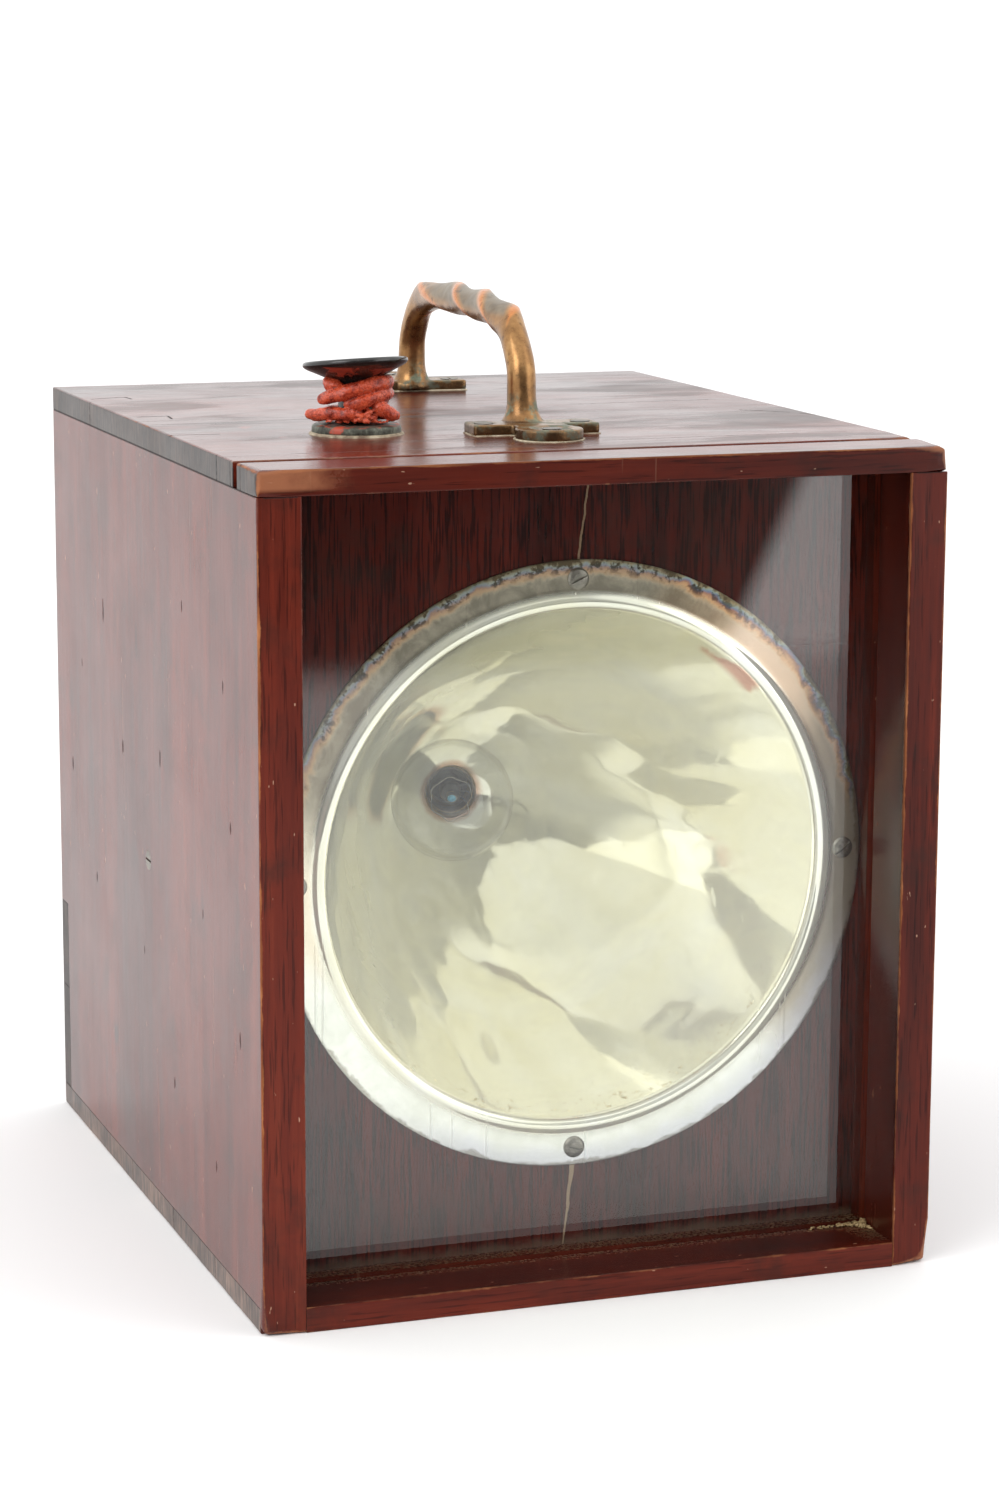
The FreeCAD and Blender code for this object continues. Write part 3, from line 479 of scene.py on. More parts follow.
def ex_side_left(M):
    x, y, z = M.sep(M.p)
    out = M.rng(x, -0.1492, -0.1497)
    blotch(M, y, z, (0.0698, 0.0638), 0.0062, (0.020, 0.018, 0.018), 0.75, out, (0.8, 1.0))
    blotch(M, y, z, (-0.0507, 0.0514), 0.0030, (0.020, 0.018, 0.018), 0.7, out)
    blotch(M, y, z, (0.020, 0.2585), 0.0026, (0.012, 0.007, 0.006), 0.9, out, (0.7, 5.0))
    blotch(M, y, z, (0.055, 0.262), 0.006, (0.16, 0.045, 0.025), 0.5, out, (0.7, 2.4), 0.2)
    for cy, cz, h_ in ((-0.138, 0.205, 3.0), (-0.128, 0.262, 4.5), (-0.092, 0.158, 4.0), (-0.062, 0.286, 3.0), (-0.021, 0.212, 5.0), (0.012, 0.118, 4.0), (0.048, 0.205, 3.5), (0.083, 0.262, 5.5),
                       (0.104, 0.132, 3.0), (0.128, 0.231, 4.0), (0.151, 0.178, 3.5), (-0.150, 0.118, 5.0), (-0.110, 0.052, 3.0), (-0.040, 0.070, 3.0)):
        k = blotch(M, y, z, (cy, cz), 0.0006 + 0.0002 * ((h_ * 2) % 4), (0.014, 0.006, 0.005), 0.8, out, (1.2, h_))
        M.rough_v = M.add(M.rough_v, M.mul(k, 0.35))
        M.nrm = M.bump(M.math("SUBTRACT", 1.0, k), 0.5, 0.0008, M.nrm)
    for k, (cy, cz) in enumerate(((-0.03, 0.12), (0.05, 0.10), (0.11, 0.19), (-0.10, 0.085), (0.02, 0.30), (-0.12, 0.29), (-0.075, 0.225), (0.09, 0.045), (0.13, 0.30))):
        blotch(M, y, z, (cy, cz), 0.0011, (0.014, 0.009, 0.008), 0.8, out, (0.8, 2.6 if k % 2 else 1.0))


def ex_top(M):
    x, y, z = M.sep(M.p)
    up_ = M.rng(z, 0.3560, 0.3567)
    for pts, w in (([(-0.1456, 0.117), (-0.129, 0.122), (-0.128, 0.112)], 0.00045), ([(-0.1447, 0.032), (-0.131, 0.032), (-0.1325, 0.019)], 0.00045),
                   ([(-0.150, -0.0452), (-0.1464, -0.0456), (-0.1287, -0.047)], 0.0004), ([(0.125, -0.017), (0.142, -0.034)], 0.00035), ([(0.145, -0.039), (0.150, -0.051)], 0.0003),
                   ([(-0.05, 0.085), (0.035, 0.0868)], 0.00022), ([(0.02, -0.118), (0.11, -0.1165)], 0.00022), ([(-0.12, -0.128), (-0.03, -0.1292)], 0.00022), ([(0.06, 0.03), (0.13, 0.0315)], 0.0002)):
        crack(M, x, y, pts, w, 1.0, up_)
    for c, r in (((-0.1106, -0.0229), 0.0026), ((-0.1125, -0.0290), 0.0013), ((-0.106, -0.066), 0.0016), ((-0.106, -0.083), 0.0011), ((-0.024, 0.022), 0.0010), ((-0.061, -0.080), 0.0009), ((0.03, -0.03), 0.0008)):
        blotch(M, x, y, c, r, RAW_RED, 0.85, up_, (1.5, 0.8))
    # bare, chafed strip along the slot and dark dull patches
    chafe = M.mul(M.mul(M.rng(y, -0.1464, -0.1385, 1.0, 0.0), M.rng(M.noise(M.p, 30.0, 4.0, 0.6), 0.42, 0.6)), up_)
    M.col = M.mix(M.mul(chafe, 0.45), M.col, (0.20, 0.085, 0.045))
    patch = M.mul(M.rng(M.noise(M.mapping(M.p, scale=(9, 26, 1), loc=(0.3, 0.8, 0)), 1.0, 4.0, 0.6, 0.4), 0.50, 0.66), up_)
    M.col = M.mix(M.mul(patch, 0.45), M.col, (0.022, 0.014, 0.011))
    M.rough_v = M.add(M.rough_v, M.mul(patch, 0.10))
    line = M.noise(M.mapping(M.p, scale=(7.0, 260.0, 1.0), loc=(2.2, 0, 0)), 1.0, 3.0, 0.6, 0.15)
    lk = M.mul(M.ramp(line, [(0.62, 0.0), (0.70, 1.0)]), up_)
    M.col = M.mix(M.mul(lk, 0.6), M.col, (0.030, 0.017, 0.013))
    M.nrm = M.bump(M.math("SUBTRACT", 1.0, lk), 0.35, 0.0004, M.nrm)
    # two patch joints on the end-grain edge
    ends = M.rng(x, -0.1490, -0.1496)
    for yy in (0.103, -0.122, -0.143):
        crack(M, y, z, [(yy, 0.344), (yy + 0.0006, 0.359)], 0.00022, 1.0, ends)
    blotch(M, y, z, (-0.1446, 0.3539), 0.0010, (0.006, 0.005, 0.004), 0.95, ends)


def ex_strip(M):
    x, y, z = M.sep(M.p)
    ends = M.rng(x, -0.1490, -0.1496)
    crack(M, y, z, [(-0.158, 0.344), (-0.1576, 0.359)], 0.00022, 1.0, ends)
    # raw wood where the front left end is chafed
    d = M.add(M.mul(M.math("SUBTRACT", x, -0.150), 1.0), M.mul(M.math("SUBTRACT", M.noise(M.p, 90.0, 5.0, 0.65), 0.5), 0.030))
    front = M.rng(y, -0.1800, -0.1814)
    k = M.mul(M.rng(d, 0.010, 0.040, 1.0, 0.0), front)
    k = M.mul(k, M.rng(z, 0.3475, 0.3500))
    M.col = M.mix(M.mul(k, 0.70), M.col, (0.34, 0.13, 0.060))
    M.rough_v = M.add(M.rough_v, M.mul(k, 0.25))


def ex_inner_board(M):
    x, y, z = M.sep(M.p)
    face = M.rng(y, -0.1382, -0.1384)
    # the split below the reflector, wide at its head, and the fine one above
    w = M.rng(z, 0.011, 0.047, 0.0003, 0.0011, False)
    wob = M.mul(M.math("SUBTRACT", M.noise(M.p, 130.0, 4.0, 0.6), 0.5), 0.0022)
    dx = M.math("ABSOLUTE", M.add(M.math("SUBTRACT", x, M.rng(z, 0.011, 0.047, -0.0035, 0.0005, False)), wob))
    k = M.mul(M.mul(M.math("LESS_THAN", dx, w), M.math("LESS_THAN", z, 0.050)), face)
    M.col = M.mix(M.mul(k, 0.9), M.col, (0.30, 0.21, 0.13))
    dx2 = M.math("ABSOLUTE", M.add(M.math("SUBTRACT", x, M.rng(z, 0.308, 0.346, 0.001, 0.006, False)), wob))
    k2 = M.mul(M.mul(M.math("LESS_THAN", dx2, 0.00045), M.math("GREATER_THAN", z, 0.306)), face)
    M.col = M.mix(M.mul(k2, 0.8), M.col, (0.26, 0.17, 0.10))
    M.nrm = M.bump(M.math("SUBTRACT", 1.0, M.math("MAXIMUM", k, k2)), 0.6, 0.0005, M.nrm)
    # dust along the foot
    du = M.mul(M.rng(M.add(z, M.mul(M.math("SUBTRACT", M.noise(M.p, 60.0, 5.0, 0.7), 0.5), 0.010)), 0.0105, 0.0165, 1.0, 0.0), face)
    M.col = M.mix(M.mul(du, 0.6), M.col, (0.13, 0.095, 0.070))


def ex_bottom(M):
    x, y, z = M.sep(M.p)
    ends = M.rng(x, -0.1490, -0.1496)
    for yy in (-0.106, 0.041, -0.035):
        crack(M, y, z, [(yy, 0.0), (yy + 0.0008, 0.0112)], 0.00022, 1.0, ends)
    # dust and varnish crumbs on the sill inside the opening
    inside = M.mul(M.rng(z, 0.0105, 0.0109), M.rng(y, -0.1815, -0.170))
    wob = M.mul(M.math("SUBTRACT", M.noise(M.p, 90.0, 4.0, 0.6), 0.5), 0.008)
    along_glass = M.rng(M.add(y, wob), -0.1600, -0.1530)
    reach = M.add(M.math("SUBTRACT", 0.1330, x), M.mul(M.math("SUBTRACT", -0.1525, y), 0.30))
    heap = M.rng(M.add(reach, wob), 0.0060, 0.0200, 1.0, 0.0)
    du = M.math("MAXIMUM", M.mul(along_glass, 0.75), heap)
    du = M.mul(M.mul(du, M.rng(M.noise(M.p, 620.0, 4.0, 0.7), 0.42, 0.66)), inside)
    M.col = M.mix(M.mul(du, 0.70), M.col, (0.17, 0.115, 0.058))
    M.rough_v = M.add(M.rough_v, M.mul(du, 0.2))


def ex_rear(M):
    x, y, z = M.sep(M.p)
    ends = M.rng(x, -0.1490, -0.1496)
    crack(M, z, y, [(0.062, 0.166), (0.0622, 0.183)], 0.0002, 0.8, ends)


XX, YY, ZZ = 0, 1, 2
# keys: (axis along the arris, side on the first other axis, side on the second other axis)
side_l = board("side_left", wood("mahogany_side_left", 2, 3.1, extra=ex_side_left, rough=0.18, front=0.22),
               {(ZZ, -1, -1): (0.0010, 1.0), (ZZ, 1, -1): (0.0006, 0.55), (ZZ, -1, 1): (0.0012, 0.8), (XX, -1, -1): (0.0030, 0.9), (YY, -1, -1): (0.0025, 0.9)},
               long_axis=2, corner=[((-0.150, -0.1818, 0.0), 0.016, 0.0045)])
# shade: painted shade on the inner face of this right wall of the opening
side_r = board("side_right", wood("mahogany_side_right", 2, 11.3, rough=0.17, front=0.22, shade=((0, 0.1336, 0.1331, 0.45),)),
               {(ZZ, 1, -1): (0.0011, 1.0), (ZZ, -1, -1): (0.0008, 0.95), (ZZ, 1, 1): (0.0012, 0.8), (XX, -1, -1): (0.0030, 0.9), (YY, 1, -1): (0.0025, 0.9)},
               long_axis=2, corner=[((0.150, -0.1818, 0.0), 0.018, 0.0055)])
top_b = board("top_board", wood("mahogany_top", 0, 5.2, end=True, extra=ex_top, rough=0.17, bumpk=1.3),
              {(YY, -1, 1): (0.0011, 0.7), (YY, 1, 1): (0.0012, 0.8), (XX, 1, 1): (0.0011, 0.7), (XX, -1, 1): (0.0008, 0.7), (ZZ, -1, 1): (0.0015, 0.8), (ZZ, 1, 1): (0.0015, 0.8)},
              corner=[((0.150, -0.1464, 0.357), 0.022, 0.0026)])
# shade: painted shade darkens the strip's front face
strip = board("top_front_strip", wood("mahogany_strip", 0, 7.7, end=True, extra=ex_strip, rough=0.18, front=0.22, shade=((1, -0.1800, -0.1812, 0.72),)),
              {(XX, -1, 1): (0.0009, 1.0), (XX, -1, -1): (0.0005, 0.45), (XX, 1, 1): (0.0006, 0.5), (YY, -1, 1): (0.0013, 0.9), (YY, 1, 1): (0.0016, 1.0), (ZZ, -1, -1): (0.0013, 1.0), (ZZ, 1, -1): (0.0018, 1.0)},
              corner=[((-0.150, -0.1818, 0.357), 0.014, 0.0032), ((0.150, -0.1818, 0.357), 0.016, 0.0048)])
# shade: painted shade on the sill inside the opening
bottom_b = board("bottom_board", wood("mahogany_bottom", 0, 1.9, end=True, extra=ex_bottom, rough=0.18, front=0.22, shade=((2, 0.0104, 0.0108, 0.6),), ends_lift=3.0),
                 {(XX, -1, -1): (0.0008, 0.7), (XX, -1, 1): (0.0008, 0.75), (YY, -1, -1): (0.0012, 0.6), (YY, 1, -1): (0.0012, 0.6), (XX, 1, -1): (0.0012, 0.6), (ZZ, -1, 1): (0.0015, 0.7), (ZZ, 1, 1): (0.0015, 0.7)})
rear_b = board("rear_lower_board", wood("mahogany_rear", 0, 9.4, end=True, extra=ex_rear, rough=0.24, ends_lift=0.8),
               {(ZZ, -1, 1): (0.0013, 0.8), (ZZ, 1, 1): (0.0013, 0.8), (XX, 1, 1): (0.0006, 0.5)})
door = board("rear_door", wood("mahogany_door", 2, 6.6, rough=0.22),
             {(ZZ, -1, 1): (0.0008, 0.7), (ZZ, 1, 1): (0.0008, 0.5), (XX, 1, 1): (0.0008, 0.5), (XX, 1, -1): (0.0008, 0.7)}, long_axis=2, body="rear_door")
assign(N["reflector_board"], wood("mahogany_inner_board", 2, 4.4, base=0.62, hue=(0.95, 0.72, 0.70), rough=0.16, extra=ex_inner_board, bumpk=0.12, hairs=0.0, spec=0.25, pore=(0.42, 0.50, 0.15)))


def flatmat(name, col, rough, metal=0.0, scale=60.0, amp=0.25, bump=0.1, dist=0.0003, spots=None, spot_at=(0.55, 0.68)):
    M = Mat(name)
    p = M.obj()
    n1_ = M.noise(p, scale, 6.0, 0.6)
    n2_ = M.noise(p, scale * 6, 3.0, 0.6)
    f = M.math("ADD", M.math("MULTIPLY", n1_, 0.6), M.math("MULTIPLY", n2_, 0.4))
    lo = tuple(c * (1 - amp) for c in col)
    hi = tuple(min(1, c * (1 + amp)) for c in col)
    c = M.ramp(f, [(0.35, lo), (0.65, hi)])
    if spots:
        sp = M.ramp(M.noise(p, scale * 1.7, 5.0, 0.7), [(spot_at[0], 0.0), (spot_at[1], 1.0)])
        c = M.mix(sp, c, spots)
    M.set(Base_Color=c, Metallic=metal, Roughness=M.math("ADD", M.math("MULTIPLY", n1_, 0.25), rough - 0.12))
    M.set(Normal=M.bump(f, bump, dist))
    return M


inner = flatmat("inner_wood", (0.30, 0.16, 0.075), 0.65, scale=30, amp=0.35).m
brass = flatmat("brass", (0.56, 0.38, 0.15), 0.35, 1.0, amp=0.3).m
steel = flatmat("screw_steel", (0.26, 0.24, 0.21), 0.42, 1.0, amp=0.4, spots=(0.10, 0.06, 0.04)).m
bronze = flatmat("bronze", (0.34, 0.17, 0.075), 0.38, 0.9, amp=0.35).m
patina = flatmat("patina", (0.12, 0.13, 0.105), 0.5, 0.6, amp=0.4, spots=(0.20, 0.22, 0.16)).m
ebonite = flatmat("ebonite", (0.018, 0.018, 0.018), 0.25, 0.0, amp=0.4).m
rubber = flatmat("rubber", (0.42, 0.075, 0.045), 0.6, 0.0, amp=0.4, spots=(0.25, 0.04, 0.03)).m
putty = flatmat("putty", (0.50, 0.44, 0.34), 0.8, 0.0).m
porcelain = flatmat("porcelain", (0.72, 0.70, 0.63), 0.2, 0.0, amp=0.1).m
cloth = flatmat("wire_cover", (0.22, 0.06, 0.04), 0.85, 0.0, scale=300).m
SL = {"inner_wood": inner, "brass": brass, "steel": steel, "bronze": bronze, "patina": patina, "ebonite": ebonite, "red_rubber": rubber,
      "putty": putty, "porcelain": porcelain, "wire_cover": cloth}


def glassmat(name, tint, edge_tint, pane=False):
    """Thin clear glass: sheen that grows toward grazing, and a tint where it is seen end-on."""
    M = Mat(name)
    p = M.obj()
    lw = M.n("ShaderNodeLayerWeight")
    lw.inputs["Blend"].default_value = 0.5
    f5 = M.math("POWER", lw.outputs["Facing"], 5.0)
    fr = M.add(M.mul(f5, 0.90), 0.045)
    smear = M.noise(M.mapping(p, scale=(14.0, 14.0, 5.0)), 1.0, 4.0, 0.6, 0.4)
    gl = M.n("ShaderNodeBsdfGlossy")
    gl.inputs["Color"].default_value = (1, 1, 1, 1)
    M.l(M.rng(smear, 0.35, 0.75, 0.0, 0.035), gl.inputs["Roughness"])
    tr = M.n("ShaderNodeBsdfTransparent")
    see = M.mix(M.rng(lw.outputs["Facing"], 0.80, 1.0), tint, edge_tint)
    if pane:
        # a pane is green through its narrow sides
        ny = M.math("ABSOLUTE", M.sep(M.coord("Normal"))[1])
        see = M.mix(M.rng(ny, 0.6, 0.3), see, (0.34, 0.56, 0.45))
    M.l(see, tr.inputs[0])
    lp = M.n("ShaderNodeLightPath")
    clear = M.math("MAXIMUM", lp.outputs["Is Shadow Ray"], lp.outputs["Is Diffuse Ray"])
    mx = M.n("ShaderNodeMixShader")
    M.l(M.mul(fr, M.math("SUBTRACT", 1.0, clear)), mx.inputs[0])
    M.l(tr.outputs[0], mx.inputs[1])
    M.l(gl.outputs[0], mx.inputs[2])
    M.l(mx.outputs[0], M.out.inputs[0])
    M.t.nodes.remove(M.b)
    return M


SL["clear_glass"] = glassmat("front_glass", (0.975, 0.985, 0.975), (0.80, 0.90, 0.84), True).m
SL["lamp_glass"] = glassmat("lamp_glass", (0.985, 0.985, 0.975), (0.45, 0.47, 0.42)).m

# the bulb is drawn as its outer skin alone, closed, so that what stands behind it stays clear
bm = bmesh.new()
bm.from_mesh(N["lamp_glass"].data)
bmesh.ops.remove_doubles(bm, verts=bm.verts[:], dist=2e-6)
bm.normal_update()
AX_O, AX_D = Vector((0.0009, 0.0286, 0.1783)), Vector((-0.29126, -0.95267, 0.08716))
heart = AX_O + AX_D * (max((v.co - AX_O).dot(AX_D) for v in bm.verts) - 0.028)
bmesh.ops.delete(bm, geom=[f for f in bm.faces if f.normal.dot(f.calc_center_median() - heart) < 0], context="FACES")
bmesh.ops.holes_fill(bm, edges=[e for e in bm.edges if e.is_boundary], sides=0)
bm.normal_update()
me = bpy.data.meshes.new("lamp_bulb_skin")
bm.to_mesh(me)
bm.free()
skin = bpy.data.objects.new("lamp_bulb_skin", me)
SC.collection.objects.link(skin)
finish_piece(skin, SL["lamp_glass"], "lamp", "lamp_glass", 40.0)



# ------------------------------------------------------------------ spun reflector
AXX, AXZ = 0.0009, 0.1783
BOWL_K, BOWL_APEX = 0.0727, 0.030
R_B, R_FL, R_HOLE = 0.111, 0.1316, 0.0125
Y_F = -0.1395          # front face of the flange
FL_T = 0.001


def bowl_wave(x, z, r):
    """Height of the hand-beaten waves and dents in the spun bowl, along the surface normal."""
    a = math.atan2(z, x)
    fade = max(0.0, min(1.0, (R_B - r) / 0.010)) * max(0.0, min(1.0, (r - R_HOLE) / 0.012))
    h = 0.00052 * n1(x * 19.0 + 4.1, z * 19.0 + 1.7, 2.2)
    h += 0.00026 * n1(x * 42.0 + 8.1, z * 42.0 + 5.3, 7.7)
    h += 0.00006 * n1(x * 105.0 + 1.4, z * 105.0, 3.1)
    h += 0.00010 * n1(r * 130.0, a * 1.2, 5.0)
    for dx, dz, s, d in ((-0.0300, -0.0475, 0.0120, 0.0011), (-0.0120, -0.0860, 0.0110, -0.0008), (0.0420, 0.0500, 0.0200, 0.0006), (-0.0500, -0.0250, 0.0090, -0.0005), (0.0480, -0.0650, 0.0260, 0.0009)):
        q = ((x - dx) ** 2 + (z - dz) ** 2) / (s * s)
        if q < 6:
            h += d * math.exp(-q)
    return h * fade


def reflector_mesh():
    NS = 288
    rings_in = []
    n_b = 96
    prof = []
    for i in range(n_b + 1):
        r = R_HOLE + (R_B - R_HOLE) * (i / n_b)
        prof.append((r, BOWL_APEX - r * r / BOWL_K, True))
    yl = prof[-1][1]
    # from the bowl's mouth up over the bead and out over the flange
    prof[-1] = (R_B, Y_F - 0.0004, False)
    if prof[-2][1] < Y_F:
        prof[-2] = (prof[-2][0], Y_F + 0.0002, False)
    for r, y in ((0.1114, -0.0006), (0.1119, -0.0010), (0.1126, -0.00130), (0.1133, -0.00145), (0.1142, -0.00145), (0.1150, -0.00125), (0.1157, -0.0009), (0.1164, -0.0006), (0.1173, -0.0003), (0.1184, -0.0001)):
        prof.append((r, Y_F + y, False))
    for i in range(1, 11):
        r = 0.1184 + (0.1311 - 0.1184) * i / 10
        prof.append((r, Y_F, False))
    prof.append((0.1315, Y_F + 0.00015, False))
    prof.append((R_FL, Y_F + 0.0005, False))
    prof.append((0.1315, Y_F + 0.00092, False))
    prof.append((0.1311, Y_F + FL_T, False))
    prof.append((0.1135, Y_F + FL_T, False))
    back_ = []
    for i in range(n_b, -1, -3):
        r = R_HOLE + (R_B - R_HOLE) * (i / n_b)
        sl_ = -2 * r / BOWL_K
        nn = math.hypot(1, sl_)
        ro, yo = r - sl_ / nn * FL_T, BOWL_APEX - r * r / BOWL_K + FL_T / nn
        if yo > Y_F + FL_T + 0.0012 and ro < R_B + 0.002:
            back_.append((ro, yo, True))
    prof += back_
    verts, faces = [], []
    np_ = len(prof)
    for k, (r, y, wavy) in enumerate(prof):
        for s in range(NS):
            a = 2 * math.pi * s / NS
            x, z = r * math.cos(a), r * math.sin(a)
            rr, yy = r, y
            if wavy:
                h = bowl_wave(x, z, r)
                g = Vector((2 * x / BOWL_K, 1.0, 2 * z / BOWL_K)).normalized()
                q = Vector((x, y, z)) - g * h
                x, yy, z = q.x, q.y, q.z
            else:
                yy = y + 0.00007 * n1(math.cos(a) * 2.5, math.sin(a) * 2.5, r * 60.0)
            verts.append((AXX + x, yy, AXZ + z))
    for k in range(np_):
        k2 = (k + 1) % np_
        for s in range(NS):
            s2 = (s + 1) % NS
            faces.append((k * NS + s, k * NS + s2, k2 * NS + s2, k2 * NS + s))
    return verts, faces


def silver():
    M = Mat("silver_plate")
    p = M.obj()
    x, y, z = M.sep(p)
    dx = M.math("SUBTRACT", x, AXX)
    dz = M.math("SUBTRACT", z, AXZ)
    r = M.math("SQRT", M.add(M.mul(dx, dx), M.mul(dz, dz)))
    ang = M.math("ARCTAN2", dz, dx)                    # 0 at the right, pi/2 at the top
    n_big = M.noise(p, 20.0, 4.0, 0.55, 0.6)
    n_mid = M.noise(p, 70.0, 5.0, 0.65, 0.4)
    n_fine = M.noise(p, 320.0, 5.0, 0.7)
    bowl = M.ramp(n_big, [(0.35, (0.95, 0.915, 0.74)), (0.55, (0.975, 0.955, 0.84)), (0.7, (0.985, 0.975, 0.90))])
    flange = M.ramp(n_mid, [(0.35, (0.80, 0.80, 0.72)), (0.65, (0.93, 0.925, 0.86))])
    on_fl = M.rng(r, 0.1160, 0.1190)
    col = M.mix(on_fl, bowl, flange)
    w1 = M.mul(M.math("SUBTRACT", n_mid, 0.5), 0.010)
    rw = M.add(r, w1)

    def sector(c, half, soft):
        """1 inside the sector of half-width half round the angle c (radians)."""
        d = M.math("ABSOLUTE", M.math("SUBTRACT", ang, c))
        d = M.math("MINIMUM", d, M.math("SUBTRACT", 2 * math.pi, d))
        return M.rng(M.add(d, M.mul(M.math("SUBTRACT", n_big, 0.5), 0.5)), half, half + soft, 1.0, 0.0)

    top = sector(1.95, 0.80, 0.35)
    right_ = sector(-0.05, 0.50, 0.30)
    ur = sector(0.72, 0.40, 0.25)
    low = sector(-1.2, 0.75, 0.35)
    left_ = sector(2.95, 0.35, 0.30)
    # cream to peach on the inner flange at the left and the upper right
    col = M.mix(M.mul(M.mul(left_, on_fl), 0.6), col, (0.88, 0.72, 0.50))
    col = M.mix(M.mul(M.mul(ur, on_fl), 0.85), col, (0.90, 0.62, 0.42))
    col = M.mix(M.mul(M.mul(right_, on_fl), 0.8), col, (0.42, 0.34, 0.24))
    col = M.mix(M.mul(M.mul(low, M.rng(rw, 0.120, 0.130)), 0.6), col, (0.62, 0.62, 0.72))
    col = M.mix(M.mul(M.mul(top, on_fl), 0.86), col, M.ramp(n_mid, [(0.40, (0.13, 0.10, 0.065)), (0.60, (0.26, 0.22, 0.155))]))
    # blue and orange interference rings toward the rim, mostly top and upper right
    film = M.ramp(M.rng(rw, 0.1235, 0.1316, 0.0, 1.0, False), [(0.0, (0.9, 0.85, 0.7)), (0.35, (0.85, 0.50, 0.25)), (0.55, (0.45, 0.22, 0.16)), (0.68, (0.20, 0.26, 0.42)), (0.80, (0.34, 0.44, 0.40)), (0.92, (0.50, 0.40, 0.22)), (1.0, (0.22, 0.17, 0.11))])
    fm = M.mul(M.rng(rw, 0.1235, 0.1275), M.math("MAXIMUM", M.mul(ur, 1.0), M.mul(top, 0.55)))
    col = M.mix(M.mul(fm, 0.85), col, film)
    # black-brown speckle along the rim
    sp = M.rng(M.add(n_fine, M.mul(M.math("SUBTRACT", n_mid, 0.5), 0.8)), 0.48, 0.60)
    rim = M.mul(M.rng(rw, 0.1245, 0.1300), M.math("MAXIMUM", top, M.mul(ur, 0.7)))
    speck = M.mul(M.mul(sp, rim), 0.9)
    col = M.mix(speck, col, (0.060, 0.045, 0.030))
    edge = M.mul(M.rng(rw, 0.1296, 0.1312), 0.55)
    col = M.mix(edge, col, (0.16, 0.12, 0.07))
    # burn round the apex hole, crumbs inside the lower lip, and a red mark inside the lip at the upper right
    burn = M.rng(M.add(r, M.mul(M.math("SUBTRACT", n_mid, 0.5), 0.004)), 0.0128, 0.0160, 1.0, 0.0)
    col = M.mix(M.mul(burn, 0.75), col, (0.45, 0.17, 0.05))
    lip = M.mul(M.rng(r, 0.1035, 0.1098), M.rng(r, 0.1108, 0.1112, 1.0, 0.0))
    crumbs = M.mul(M.mul(lip, M.rng(n_fine, 0.56, 0.66)), M.rng(dz, -0.02, -0.09))
    col = M.mix(M.mul(crumbs, 0.7), col, (0.42, 0.30, 0.14))
    red = M.mul(M.mul(sector(0.80, 0.10, 0.05), M.rng(r, 0.1060, 0.1085)), M.rng(r, 0.1105, 0.1112, 1.0, 0.0))
    col = M.mix(M.mul(red, 0.7), col, (0.55, 0.10, 0.05))
    # painted shade: a thin dark line in the crease where the bowl meets the rolled lip
    crease_shade_line = M.mul(M.rng(r, 0.1104, 0.1110), M.rng(r, 0.1114, 0.1119, 1.0, 0.0))
    col = M.mix(M.mul(crease_shade_line, 0.6), col, (0.20, 0.17, 0.12))
    # hairline scratches
    scr = []
    for k, (rx, ry, rz) in enumerate(((0.0, 0.7, 0.0), (0.0, -0.35, 0.2), (0.3, 1.5, 0.0))):
        v = M.mapping(p, scale=(420.0, 40.0, 9.0), rot=(rx, ry, rz), loc=(k * 2.7, k, 0))
        scr.append(M.ramp(M.noise(v, 1.0, 1.0, 0.4), [(0.735, 0.0), (0.76, 1.0)]))
    s_all = M.math("MAXIMUM", scr[0], M.math("MAXIMUM", scr[1], scr[2]))
    rr = M.add(M.mul(n_big, 0.05), 0.015)
    rr = M.add(rr, M.mul(s_all, 0.20))
    tarn = M.math("MAXIMUM", M.math("MAXIMUM", M.mul(top, on_fl), M.mul(right_, on_fl)), M.mul(ur, on_fl))
    rr = M.add(rr, M.mul(on_fl, 0.16))
    rr = M.add(rr, M.mul(tarn, 0.16))
    rr = M.add(rr, M.mul(speck, 0.35))
    rr = M.add(rr, M.mul(crumbs, 0.3))
    haze = M.mul(M.math("SUBTRACT", 1.0, on_fl), M.rng(n_big, 0.35, 0.65, 0.42, 0.32))
    M.set(Base_Color=col, Metallic=M.math("SUBTRACT", 1.0, haze), Roughness=rr)
    b = M.bump(M.add(M.mul(n_fine, 0.5), M.mul(sp, 0.5)), 0.012, 0.0002)
    b = M.bump(M.math("SUBTRACT", 1.0, s_all), 0.05, 0.00015, b)
    M.set(Normal=b)
    return M.m


v_, f_ = reflector_mesh()
refl = add_mesh("reflector_silver", v_, f_, silver(), "case", "reflector", 50.0)


# ------------------------------------------------------------------ shared shape helpers
def to_object(name, bm):
    me = bpy.data.meshes.new(name)
    bm.to_mesh(me)
    bm.free()
    o = bpy.data.objects.new(name, me)
    SC.collection.objects.link(o)
    return o


def settle(o, voxel, passes=1, factor=0.5):
    """Fuses overlapping closed shells into one skin and eases it."""
    md = o.modifiers.new("skin", "REMESH")
    md.mode = "VOXEL"
    md.voxel_size = voxel
    md.adaptivity = 0.0
    if passes:
        sm = o.modifiers.new("ease", "SMOOTH")
        sm.iterations = passes
        sm.factor = factor
    dg = bpy.context.evaluated_depsgraph_get()
    dg.update()
    me = bpy.data.meshes.new_from_object(o.evaluated_get(dg))
    o.modifiers.clear()
    old = o.data
    o.data = me
    bpy.data.meshes.remove(old)
    return o


